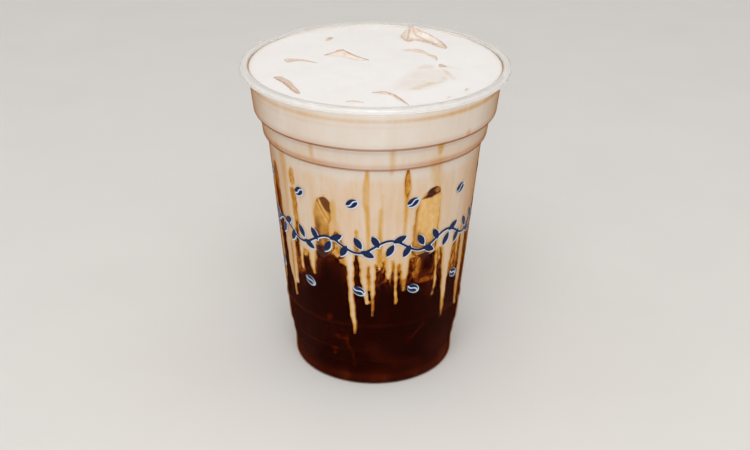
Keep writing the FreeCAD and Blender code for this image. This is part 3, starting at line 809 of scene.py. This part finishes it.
def wall_foam():
    """Foam against the wall: cream, with vertical coffee stains, mottling and tiny bubbles."""
    foam = new_material("foam_at_wall")
    tone = foam.mask("tone")
    streaks = foam.grain((0.55, 3.0, 0.10, 0.55), 0.30, 0.75, -0.06, 0.07)
    clouds = foam.grain((0.10, 4.0, 0.6, 0.6, 0.4), 0.3, 0.7, -0.035, 0.035)
    mottle = foam.grain((1.6, 4.0, 0.7, 0.65), 0.35, 0.70, -0.5, 0.5)
    total = foam.math("ADD", tone, foam.math("MULTIPLY", streaks, foam.remap(tone, 0.16, 0.42, 0.12, 1.1)))
    total = foam.math("ADD", total, clouds)
    stained = foam.math("MULTIPLY", mottle, foam.remap(tone, 0.34, 0.62, 0.0, 0.16))
    colour = foam.ramp(foam.math("ADD", total, stained, clamp=True), FOAM_RAMP)
    bubbles = foam.grain((3.2, 2.0), 0.60, 0.72, 0.0, 0.22)
    colour = foam.mix(foam.math("MULTIPLY", bubbles, foam.remap(tone, 0.05, 0.35)), colour, rgb("B98A52"))
    # Brown along the grooves: part dried coffee, part painted shade.
    colour = foam.mix(foam.mask("stain_and_shade_in_grooves"), colour, rgb("AC5C00"))
    return foam.finish(foam.surface(Base_Color=colour, Roughness=0.75, Specular_IOR_Level=0.1,
                                    Normal=foam.bump(foam.noise(2.4), 0.05, 0.5)))


def coffee_body():
    """Coffee behind the wall: nearly black, with red-brown glints where light comes through."""
    brew = new_material("coffee_at_wall")
    swirl = brew.grain((0.09, 3.0, 0.7, 0.55, 1.2), 0.52, 0.74, 0.0, 0.17)
    threads = brew.grain((0.45, 3.0, 0.25, 0.6, 0.6), 0.56, 0.78, 0.0, 0.10)
    mottle = brew.grain((0.8, 4.0, 0.6, 0.65, 0.5), 0.30, 0.72, -0.5, 0.5)
    marbling = brew.grain((0.42, 5.0, 0.55, 0.68, 1.6), 0.42, 0.66, 0.0, 0.62)
    tone = brew.math("ADD", brew.mask("tone"), brew.math("MULTIPLY", marbling, brew.mask("fringe")))
    total = brew.math("ADD", tone, brew.math("ADD", swirl, threads))
    lit = brew.math("MULTIPLY", mottle, brew.remap(tone, 0.08, 0.5, 0.0, 0.38))
    colour = brew.ramp(brew.math("ADD", total, lit, clamp=True), COFFEE_RAMP)
    spots = brew.grain((0.62, 2.0, 0.7, 0.5, 0.6), 0.58, 0.70)
    colour = brew.mix(brew.math("MULTIPLY", spots, brew.mask("glint")), colour, rgb("701F02"))
    return brew.finish(brew.surface(Base_Color=colour, Roughness=0.35, Specular_IOR_Level=0.0))


def wall_pane():
    """Ice pressed against the wall, with coffee and cream behind it."""
    pane = new_material("ice_at_wall")
    streaks = pane.grain((0.4, 3.0, 0.2, 0.55, 0.3), 0.30, 0.72, -0.05, 0.05)
    mottle = pane.grain((0.5, 4.0, 0.8, 0.6, 0.6), 0.30, 0.72, -0.06, 0.06)
    total = pane.math("ADD", pane.mask("tone"), pane.math("ADD", streaks, mottle), clamp=True)
    return pane.finish(pane.surface(Base_Color=pane.ramp(total, PANE_RAMP), Roughness=0.25,
                                    Specular_IOR_Level=0.15))


def foam_top():
    """The foam's smooth top: almost white, with faint cream clouds and small bubbles."""
    foam = new_material("foam_on_top")
    clouds = foam.grain((0.12, 4.0, 1.0, 0.6, 0.5), 0.35, 0.75, 0.0, 0.06)
    blotches = foam.grain((0.34, 4.0, 1.0, 0.6, 1.2), 0.32, 0.68, 0.45, 1.4)
    total = foam.math("ADD", foam.math("MULTIPLY", foam.mask("tone"), blotches), clouds, clamp=True)
    colour = foam.ramp(total, [(0.0, "F2EFED"), (0.3, "E6DACD"), (0.6, "CDAE86"), (1.0, "80501F")])
    bubbles = foam.noise(2.2, 2.0)
    colour = foam.mix(foam.remap(bubbles, 0.66, 0.74, 0.0, 0.18), colour, rgb("C9B193"))
    relief = foam.math("ADD", foam.noise(0.5), foam.math("MULTIPLY", bubbles, 0.4))
    return foam.finish(foam.surface(Base_Color=colour, Roughness=0.42, Specular_IOR_Level=0.35,
                                    Subsurface_Weight=0.25, Subsurface_Radius=(1.0, 0.8, 0.6),
                                    Subsurface_Scale=0.0015, Normal=foam.bump(relief, 0.12, 0.5)))


def wet_ice():
    """Ice that the foam laps: pale faces, brown where coffee clings to its edges."""
    ice = new_material("ice_on_top")
    cloud = ice.noise(0.35, 4.0, 1.0, 0.6, 0.8)
    vein = ice.grain((0.9, 4.0, 1.0, 0.7, 0.5), 0.30, 0.70, 0.45, 1.3)
    face = ice.ramp(ice.remap(cloud, 0.30, 0.72), [(0.0, "F2EEEA"), (0.5, "EBE2D8"), (1.0, "DCC6AC")])
    browned = ice.math("MULTIPLY", ice.mask("face"), ice.remap(cloud, 0.3, 0.7, 0.8, 1.2))
    face = ice.mix(browned, face, rgb("CDA988"))
    colour = ice.mix(ice.math("MULTIPLY", ice.mask("edge"), vein, clamp=True), face, rgb("9C5A16"))
    colour = ice.mix(ice.mask("bare"), rgb("EFE9E4"), colour)
    return ice.finish(ice.surface(Base_Color=colour, Roughness=0.16, Specular_IOR_Level=0.45, IOR=1.31,
                                  Coat_Weight=0.2, Subsurface_Weight=0.1, Subsurface_Radius=(1.0, 0.8, 0.6),
                                  Subsurface_Scale=0.001, Normal=ice.bump(ice.noise(0.5), 0.15, 0.4)))


def ink(name, code, gloss):
    """Printed ink, slightly uneven."""
    film = new_material(name)
    colour = film.mix(film.grain((2.5, 3.0), 0.3, 0.7, 0.0, 0.02), rgb(code), rgb("FFFFFF"))
    return film.finish(film.surface(Base_Color=colour, Roughness=gloss, Specular_IOR_Level=0.06,
                                    Normal=film.bump(film.noise(1.5, 2.0), 0.02, 0.4)))


# ---- The cup, the coffee, and the foam and ice along the wall ----

# How far the coffee, the panes of ice and the foam reach into the wall, one over the other.
COFFEE_OUT, PANE_OUT, FOAM_OUT = 0.08, 0.14, 0.21

CUP_STEP, CUP_COLUMNS = 2.0, 208
COFFEE_STEP, COFFEE_COLUMNS = 0.72, 384
COFFEE_TOP = 100.0

# A painted highlight: a white line along the lip's lower edge; its height above that edge, and half its width.
LIP_HIGHLIGHT_RISE = 0.55
LIP_HIGHLIGHT_REACH = 0.3


def ready(piece, material, slot, *nodes):
    """Gives a piece its material and its place in the frame."""
    piece.data.materials.append(material)
    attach(piece, "root")
    if nodes:
        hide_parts(*nodes)


def cup_wall():
    """The whole cup as one thin lathe: base, foot, rings, side and curled lip."""
    corners = wall_corners(False) + lip_corners() + wall_corners(True)[::-1]
    return turned("cup_wall", resample(rounded_path(corners), CUP_STEP), CUP_COLUMNS)


cup = cup_wall()
places = vertex_places(cup)
above_skirt = places[:, 2] - (CUP_HEIGHT - LIP_SKIRT)
radius = np.hypot(places[:, 0], places[:, 1])
write_mask(cup, "lip", smoothstep(-0.4, 0.2, above_skirt) * smoothstep(RIM_IN - 0.1, RIM_IN + 0.9, radius))
# A painted highlight along the lip's lower edge.
write_mask(cup, "painted_lip_highlight", bell(above_skirt - LIP_HIGHLIGHT_RISE, LIP_HIGHLIGHT_REACH)
           * smoothstep(LIP_RADIUS - 0.9, LIP_RADIUS - 0.4, radius))
ready(cup, clear_plastic(), "clear_cup", "cup")

# The coffee goes on behind the foam, up to COFFEE_TOP.
path = pushed_out(resample(INSIDE, COFFEE_STEP), COFFEE_OUT)
top = int(np.argmax(path[:, 1] > COFFEE_TOP))
path = np.vstack([[(0.0, path[0, 1])], path[1:top], [(0.0, path[top - 1, 1])]])
coffee = turned("coffee", path, COFFEE_COLUMNS)
places = vertex_places(coffee)
turn, height = np.degrees(np.arctan2(places[:, 0], -places[:, 1])), places[:, 2]
write_mask(coffee, "tone", coffee_tones(turn, height))
write_mask(coffee, "fringe", coffee_fringe(turn, height))
write_mask(coffee, "glint", smoothstep(2.0, -4.0, GLINTS.outside(turn, height)))
ready(coffee, coffee_body(), "coffee", "cold_brew")

# The panes of ice, each with its tone at some heights; they go on behind the foam by PANE_HIDDEN.
PANE_HIDDEN = 1.2
pane_material = wall_pane()
for name, shape, node, levels, marks in (
        ("left_pane", LEFT_PANE, "ice_wall_left",
         ([57, 66, 74, 80], [0.50, 0.60, 0.64, 0.56]), LEFT_PANE_PATCHES),
        ("right_pane", RIGHT_PANE, "ice_wall_right",
         ([57, 64, 72, 80, 84], [0.62, 0.78, 0.82, 0.84, 0.50]), RIGHT_PANE_PATCHES)):
    turns = np.arange(shape.left.min() - 3.0, shape.right.max() + 3.0, 0.4)
    piece, turn, height, _ = wall_skin(name, lambda t, h: shape.outside(t, h) - PANE_HIDDEN, turns,
                                       inside_between(shape.low - 1.5, shape.high + 2.0, 0.35, PANE_OUT))
    write_mask(piece, "tone", painted(np.interp(height, *levels), marks, turn, height))
    ready(piece, pane_material, "ice", node)

# The foam along the wall, with fine steps in front and up the grooves: (low, high, step).
FRONT_STEP, BACK_STEP = 0.65, 1.4
FOAM_TURNS = np.concatenate([np.arange(-88.0, 88.0, FRONT_STEP), np.arange(88.0, 272.0, BACK_STEP)])
FOAM_STEPS = ((22.0, 60.0, 0.42), (60.0, 92.0, 0.7), (92.0, 104.5, 0.3), (104.5, FOAM_LEVEL, 0.6))
parts = [inside_between(low, high, step, FOAM_OUT) for low, high, step in FOAM_STEPS]
foam_rows = np.vstack([parts[0]] + [part[1:] for part in parts[1:]])
foam_skin, turn, height, depth = wall_skin("foam_along_wall", foam_outside, FOAM_TURNS, foam_rows, closed=True)
write_mask(foam_skin, "tone", foam_tones(turn, height, depth))
write_mask(foam_skin, "stain_and_shade_in_grooves", groove_stain_and_shade(turn, height))
ready(foam_skin, wall_foam(), "foam", "cold_foam")

# ---- The foam's top, and the ice that breaks through it ----

REACH = float(foam_rows[-1, 0])
TOP_COLUMNS = 360
EDGE_BAND = 4.0


def top_height(x, y, radius):
    """The height of the foam's top: slow waves, and a rise where it wets the wall."""
    waves = 0.10 * np.sin(0.13 * x + 0.07 * y + 1.0) + 0.07 * np.sin(0.21 * y - 0.11 * x + 2.0)
    waves = waves + 0.04 * np.sin(0.45 * x + 0.2) * np.sin(0.38 * y + 1.2)
    inward = REACH - radius
    return FOAM_LEVEL + (waves * smoothstep(0.0, 5.0, inward) + 0.35 * np.exp(-inward / 0.7))


# Ice just under the foam, which only tints it: tone, how softly it ends, and its outline.
SUNKEN_ICE = [
    (0.52, 0.5, [(-19, 27.2), (-18.8, 30.6), (-17.2, 32.4), (-16.4, 31), (-17.3, 28.4)]),
    (0.13, 2.2, [(6.5, -22.8), (9.4, -14.4), (13.7, -6.7), (17.9, -4.6), (22.5, -4.5), (25.5, -8.3), (25.3, -14.1),
     (21.4, -22.5), (13.8, -27.6), (8.4, -27.4)]),
    (0.34, 0.9, [(11.7, -26.3), (13.9, -22.7), (16.8, -20.8), (18.8, -18.4), (21.6, -19), (23.1, -16.9),
     (23.2, -13.2), (25, -12.4), (25.4, -15.5), (24, -18.3), (21.5, -20.8), (17.3, -24.1), (14.8, -26.9)]),
    (0.28, 0.7, [(15, -4.4), (16.8, -0.9), (19.4, 0.4), (21.5, -0.8), (20.7, -3.4), (18, -3.8)]),
    (0.28, 0.6, [(24.4, -4.5), (26.2, -6.4), (27.6, -11), (28.4, -16), (26.2, -13.1), (25, -9.3)]),
    (0.22, 0.7, [(15.8, -15.6), (17.8, -17), (18.8, -19.8), (16.6, -19.9)]),
    (0.16, 0.6, [(25, 0.4), (28.6, -1.8), (31, -4.8), (28, -3.2), (25.4, -2)]),
    (0.5, 0.3, [(31.4, -28.2), (31.2, -25.4), (32.7, -23.8), (32, -26)]),
    (0.42, 0.3, [(24.5, -35.4), (25, -33.4), (26.2, -32), (25.6, -33.8)]),
]

radii = np.concatenate([np.linspace(0.0, REACH - EDGE_BAND, 90), np.linspace(REACH - EDGE_BAND, REACH, 18)[1:]])
radius, turn = np.meshgrid(radii, np.arange(TOP_COLUMNS) * 360.0 / TOP_COLUMNS, indexing="ij")
x, y = radius * np.sin(np.radians(turn)), -radius * np.cos(np.radians(turn))
top = make_piece("foam_surface", on_axis(radius, top_height(x, y, radius), turn).reshape(-1, 3),
                 grid_faces(len(radii), TOP_COLUMNS, True))
weld(top)
if top.data.vertices[0].normal.z < 0:
    top.data.flip_normals()
x, y, _ = vertex_places(top).T
# Painted shade: a thin darker ring where the rim shades the foam's edge.
tone = 0.42 * np.exp(-(REACH - np.hypot(x, y)) / 0.4)
for strength, soft, outline in SUNKEN_ICE:
    tone = np.maximum(tone, strength * smoothstep(soft, -soft, outline_distance(closed_curve(outline), x, y)))
write_mask(top, "tone", tone)
ready(top, foam_top(), "foam", "cold_foam")

# Each tip of ice: its CAD node, the side its brown edge faces, how brown that edge, the crests and the
# faces are, its outline, and its crests as lines of (x, y, rise).
ICE_TIPS = [
    ("ice_back_right", (0.3, -1), 0.62, 0.5, 0.1,
     [(9.3, 33.9), (11.8, 27.2), (15.4, 28.2), (20, 25.4), (23.4, 21.2), (26.8, 18.8), (27.3, 22), (25.6, 27.5),
      (21.5, 32.5), (17, 35.2), (12.2, 36.2)],
     [[(9.8, 33.8, 0.3), (11.6, 33.6, 2.3), (13.5, 33, 5), (16.2, 32.2, 3.5), (20.8, 30.2, 2.3), (24.6, 26, 1.1),
      (26.7, 20.2, 0.3)], [(13.5, 33, 5), (12.6, 29.6, 2.2), (12.2, 27.6, 0.4)], [(13.5, 33, 5), (15.6, 30.2, 1.7),
      (19.8, 27, 0.9), (23.2, 22.8, 0.6)]]),
    ("ice_left_centre", (0, 1), 0.95, 0.95, 0.12,
     [(-19.4, 10.3), (-16.6, 12.4), (-13.4, 13.6), (-11, 13.2), (-8, 10), (-5.2, 7.4), (-1.8, 4.9), (-4.6, 4),
      (-7.8, 4.6), (-10.4, 7), (-13, 8.6), (-16.4, 9.2)],
     [[(-18.9, 10.4, 0.2), (-15.6, 11.6, 0.8), (-14.2, 11.9, 1.5), (-12.3, 12, 1.9), (-9.4, 9.6, 1.3),
      (-7.2, 7.4, 0.9), (-2.6, 5, 0.15)]]),
    ("ice_left", (0.2, -1), 0.42, 0.05, 0.36,
     [(-33.9, 4.2), (-33.3, 6), (-31, 6.2), (-28.4, 6.2), (-25.6, 5.2), (-22.6, 3.4), (-19.6, 0.9), (-22.8, 1.8),
      (-25.6, 3), (-28.6, 3.3), (-30.6, 2.4), (-32.4, 1.6)],
     [[(-32.8, 4, 0.5), (-29.4, 4.8, 0.5), (-25.4, 4, 0.35), (-21, 1.8, 0.1)]]),
    ("ice_left_front", (-0.7, -0.7), 0.58, 0.05, 0.6,
     [(-36.5, -15.2), (-35.6, -13.9), (-33.3, -13.6), (-31.6, -15.8), (-29.8, -18.6), (-28, -23.4), (-26.2, -28),
      (-25.4, -31.6), (-26.8, -31.7), (-28.8, -29), (-30.6, -25.2), (-32.8, -20.9), (-34.9, -17.7)],
     [[(-35.2, -15.2, 0.3), (-31.6, -19.6, 0.9), (-28.8, -25.4, 0.8), (-26.4, -30.4, 0.3)]]),
    ("ice_front_right", (0.5, 1), 1, 0.75, 0.1,
     [(-1.8, -29.5), (1, -28.6), (4.6, -29.2), (7.2, -32.2), (9.6, -36.6), (12.3, -42.8), (9.2, -38.8),
      (6.6, -34.6), (4.4, -32.2), (1, -30.8)],
     [[(-0.8, -29.6, 0.2), (3.2, -30, 0.7), (6.6, -33.2, 0.9), (9.2, -37.6, 0.7), (11.4, -41.4, 0.25)]]),
    ("ice_front", (0, 1), 0.6, 0.1, 0.4,
     [(-10.7, -38.9), (-9, -37.6), (-6.4, -37.8), (-2.5, -39.6), (-5.4, -39.6), (-8.4, -39.2)],
     [[(-9.8, -38.6, 0.15), (-7.2, -38.4, 0.5), (-3.8, -39.4, 0.15)]]),
    ("ice_right", (0.8, 0.5), 0.3, 0.05, 0.42,
     [(9, 17.2), (12.6, 18.8), (15.2, 19), (17.6, 17.9), (19.2, 15.2), (20.9, 12), (22.8, 10), (23.2, 6.2),
      (22.3, 4.9), (20.8, 8.6), (18.9, 11.2), (17, 13.2), (13.2, 15.4)],
     [[(10.2, 17.2, 0.2), (14.6, 17.2, 0.5), (18.2, 13.8, 0.6), (21.4, 9.2, 0.6), (22.7, 5.8, 0.3)]]),
    ("ice_right", (0.8, 0.5), 0.4, 0.1, 0.75,
     [(22.8, -1.6), (23.2, 1.8), (24.8, 1.1), (26.4, -1.4), (24.2, -2.3)],
     [[(23.6, 0.8, 0.4), (25.4, -1.2, 0.2)]]),
]

# How deep the foam's top sits over the rim of a tip, and how deep that rim goes down.
ICE_SUNK = 0.25
ICE_ROOT = 1.2
ICE_STEP = 0.28


def crest_distance(crest, x, y):
    """How far points are from a crest, and how high it rises where they are nearest."""
    crest = np.array(crest, float)
    distance, along = line_distance(crest[:, :2], x, y, False)
    return distance, np.interp(along, np.arange(len(crest)), crest[:, 2])


def ice_tip(name, brown_side, brown, brown_crest, brown_face, outline, crests):
    """One tip of ice, full along its crests and falling in flat faces to its outline."""
    curve = closed_curve(outline)

    def outside(x, y):
        return outline_distance(curve, x, y)

    def raised(x, y, sink):
        depth = np.maximum(-outside(x, y), 0.0)
        rise = np.zeros(np.shape(x))
        for crest in crests:
            distance, peak = crest_distance(crest, x, y)
            rise = np.maximum(rise, peak * depth / (depth + distance + 1e-6))
        lift = rise + 0.5 * smoothstep(0, 0.5, depth) * ICE_SUNK
        return np.stack([x, y, top_height(x, y, np.hypot(x, y)) - sink + lift], axis=-1) * MM

    low, high = curve.min(axis=0) - 0.5, curve.max(axis=0) + 0.5
    piece, x, y, depth = skin(name, outside, np.arange(low[0], high[0], ICE_STEP),
                              np.arange(low[1], high[1], ICE_STEP), 1.0,
                              lambda x, y: raised(x, y, ICE_SUNK * 0.6), lambda x, y: raised(x, y, ICE_ROOT))
    probe = 0.3
    lean_x = outside(x + probe, y) - outside(x - probe, y)
    lean_y = outside(x, y + probe) - outside(x, y - probe)
    side = np.array(brown_side) / np.hypot(*brown_side)
    faces_side = smoothstep(-0.35, 0.7, (lean_x * side[0] + lean_y * side[1]) / (2 * probe))
    nearest = np.min([crest_distance(crest, x, y)[0] for crest in crests], axis=0)
    edge = np.maximum(brown * bell(depth - 0.3, 0.5) * (0.25 + 0.75 * faces_side), brown_crest * bell(nearest, 0.4))
    write_mask(piece, "edge", np.clip(edge, 0, 1))
    write_mask(piece, "face", np.full(len(depth), brown_face))
    write_mask(piece, "bare", smoothstep(-0.05, 0.28, depth))
    return piece


ice_material = wet_ice()
for node, *form in ICE_TIPS:
    name = node.replace("ice", "tip")
    if name in bpy.data.objects:
        name += "_end"
    ready(ice_tip(name, *form), ice_material, "ice", node)

# ---- The print on the wall: a leafy vine all round, with a row of coffee beans above and below it ----

BAND_MIDDLE = 62.3
VINE_WAVES = 10
VINE_SWING = 2.6
VINE_HALF = 0.42
LEAF_LENGTH = 5.4
LEAF_WIDTH = 2.5
BEAN_LENGTH = 4.6
BEAN_WIDTH = 3.2

# The leaves on each wave: their share of the wave, height above the vine's middle, and lean.
LEAVES = ((0.25, -1.5, 62), (0.75, 1.5, -62), (0.02, 2.3, 118), (0.52, -2.3, -118), (0.40, 2.9, 28),
          (0.90, -2.9, -28))

# The rows of beans: height, number round the cup, turn of the first, and lean.
BEAN_ROWS = ((80.0, 11, -12.0, 30.0), (43.5, 11, -9.0, -30.0))


def local(turn, height, count, shift, middle):
    """Millimetres across and up from the middle of the nearest of some evenly spaced motifs."""
    pitch = 360.0 / count
    across = (np.mod(turn - shift + pitch / 2, pitch) - pitch / 2) * math.radians(side_radius(middle))
    return across, height - middle


def tilted(across, up, angle):
    """Coordinates along and across a motif that leans by an angle."""
    cosine, sine = math.cos(math.radians(angle)), math.sin(math.radians(angle))
    return across * cosine + up * sine, up * cosine - across * sine


def leaf(along, side, length, width):
    """How far a point is outside a pointed leaf, the overlap of two discs."""
    radius = (length ** 2 / 4 + width ** 2 / 4) / width
    return np.hypot(along, np.abs(side) + radius - width / 2) - radius


def print_outside(turn, height):
    """How far a point of the wall is outside the printed vine and beans."""
    radius = math.radians(side_radius(BAND_MIDDLE))
    phase = np.radians(turn * VINE_WAVES)
    rise = VINE_SWING * np.sin(phase)
    slope = VINE_SWING * VINE_WAVES * np.cos(phase) / math.degrees(radius)
    result = np.abs(height - BAND_MIDDLE - rise) / np.sqrt(1 + slope ** 2) - VINE_HALF
    pitch = 360.0 / VINE_WAVES
    for share, lift, lean in LEAVES:
        across, up = local(turn, height, VINE_WAVES, share * pitch, BAND_MIDDLE + lift)
        along, side = tilted(across, up, lean)
        blade = leaf(along, side, LEAF_LENGTH, LEAF_WIDTH)
        vein = np.maximum(np.abs(side) - 0.16, np.abs(along) - LEAF_LENGTH * 0.28)
        result = np.minimum(result, np.maximum(blade, -vein))
    for middle, count, shift, lean in BEAN_ROWS:
        across, up = local(turn, height, count, shift, middle)
        along, side = tilted(across, up, lean)
        bean = (np.hypot(along / BEAN_LENGTH, side / BEAN_WIDTH) - 0.5) * BEAN_WIDTH
        split = np.abs(side - 0.35 * np.sin(along * 1.5)) - 0.27
        result = np.minimum(result, np.maximum(bean, -split))
    return result


# How far the pale edge is shifted to the right and down from its motif, and how far it spreads; the edge is partly
# a white underprint and partly a painted highlight.
EDGE_SHIFT = 0.35
EDGE_SPREAD = 0.2


def edge_outside(turn, height):
    """The pale line round each motif: partly a white underprint, partly a painted highlight."""
    return print_outside(turn - EDGE_SHIFT, height + EDGE_SHIFT * 0.6) - EDGE_SPREAD


# The bands of the wall that carry print: low, high and step.
PRINT_BANDS = ((55.5, 69.0, 0.25), (76.5, 83.5, 0.16), (40.0, 47.0, 0.16))

for name, outside, distance, material in (
        ("print", print_outside, 0.045, ink("navy_ink", "0A1C44", 0.35)),
        ("print_edge", edge_outside, 0.02, ink("pale_edge_underprint_and_highlight", "C9D6EA", 0.5))):
    for row, (low, high, step) in enumerate(PRINT_BANDS):
        heights = np.arange(low, high + step / 2, step)
        path = np.stack([side_radius(heights) + distance, heights], axis=1)
        piece = wall_skin(f"{name}_{row}", outside, np.arange(0.0, 360.0, step * 1.5), path,
                          rim=distance + 0.02, closed=True)[0]
        ready(piece, material, "print")

# ---- Stage, light and camera, in metres ----

FLOOR_HALF = 3.0
FLOOR_BACK = 1.6
FLOOR_BEND = 0.5
BACKDROP_HEIGHT = 2.5


def backdrop():
    """A floor that curves up into a wall far behind the cup."""
    profile = [(-FLOOR_HALF, 0.0), (FLOOR_BACK, 0.0)]
    for turn in np.radians(np.arange(6, 91, 6)):
        profile.append((FLOOR_BACK + FLOOR_BEND * math.sin(turn), FLOOR_BEND * (1 - math.cos(turn))))
    profile.append((FLOOR_BACK + FLOOR_BEND, BACKDROP_HEIGHT))
    points = [(x, y, z) for y, z in profile for x in (-FLOOR_HALF, FLOOR_HALF)]
    faces = [(2 * i, 2 * i + 1, 2 * i + 3, 2 * i + 2) for i in range(len(profile) - 1)]
    return make_piece("floor", points, faces)


floor = backdrop()
sheet = new_material("floor")
tint = sheet.mix(sheet.noise(0.02), rgb("DCD9D5"), rgb("E2DFDB"))
floor.data.materials.append(sheet.finish(sheet.surface(Base_Color=tint, Roughness=0.9, Specular_IOR_Level=0.1)))

# The world lights the cup softly; cameras, glossy and transmitted rays see a plain grey instead.
SKY_STRENGTH = 0.72
world = bpy.data.worlds.new("studio")
bpy.context.scene.world = world
sky = Shader(world, "ShaderNodeOutputWorld")
rays = sky.add("ShaderNodeLightPath").outputs
plain = sky.math("ADD", rays["Is Camera Ray"], rays["Is Glossy Ray"])
plain = sky.math("ADD", plain, rays["Is Transmission Ray"], clamp=True)
soft_light = sky.add("ShaderNodeBackground", Color=(1.0, 0.99, 0.98, 1.0), Strength=SKY_STRENGTH).outputs[0]
backing = sky.add("ShaderNodeBackground", Color=rgb("C6C4BF")).outputs[0]
sky.finish(sky.blend(plain, soft_light, backing))


def area_light(name, place, aim, size, power):
    """A square soft light at a place, facing a point."""
    light = bpy.data.lights.new(name, "AREA")
    light.shape = "SQUARE"
    light.size = size
    light.energy = power
    lamp = bpy.data.objects.new(name, light)
    lamp.location = place
    lamp.rotation_euler = (Vector(aim) - Vector(place)).to_track_quat("-Z", "Y").to_euler()
    bpy.context.scene.collection.objects.link(lamp)


area_light("key", (-0.05, -0.78, 1.00), (0, 0, 0.06), 0.8, 6.6)
area_light("glint", (-0.02, -0.52, 0.36), (0, 0, 0.10), 0.03, 0.2)

CAMERA_PLACE = (0.0, -0.4515, 0.27333)
CAMERA_PITCH = 25.984
CAMERA_YAW = 0.038
CAMERA_ROLL = 0.438
CAMERA_LENS = 62.318
CAMERA_SENSOR = 36.0


def place_camera():
    """The camera stands in front and looks down by CAMERA_PITCH."""
    data = bpy.data.cameras.new("camera")
    data.lens = CAMERA_LENS
    data.sensor_width = CAMERA_SENSOR
    data.clip_start = 0.01
    camera = bpy.data.objects.new("camera", data)
    pitch, yaw, roll = (math.radians(v) for v in (90.0 - CAMERA_PITCH, -CAMERA_YAW, CAMERA_ROLL))
    camera.matrix_world = (Matrix.Translation(CAMERA_PLACE) @ Matrix.Rotation(yaw, 4, "Z")
                           @ Matrix.Rotation(pitch, 4, "X") @ Matrix.Rotation(roll, 4, "Z"))
    bpy.context.scene.collection.objects.link(camera)
    bpy.context.scene.camera = camera


place_camera()
bpy.context.scene.view_settings.view_transform = "Standard"
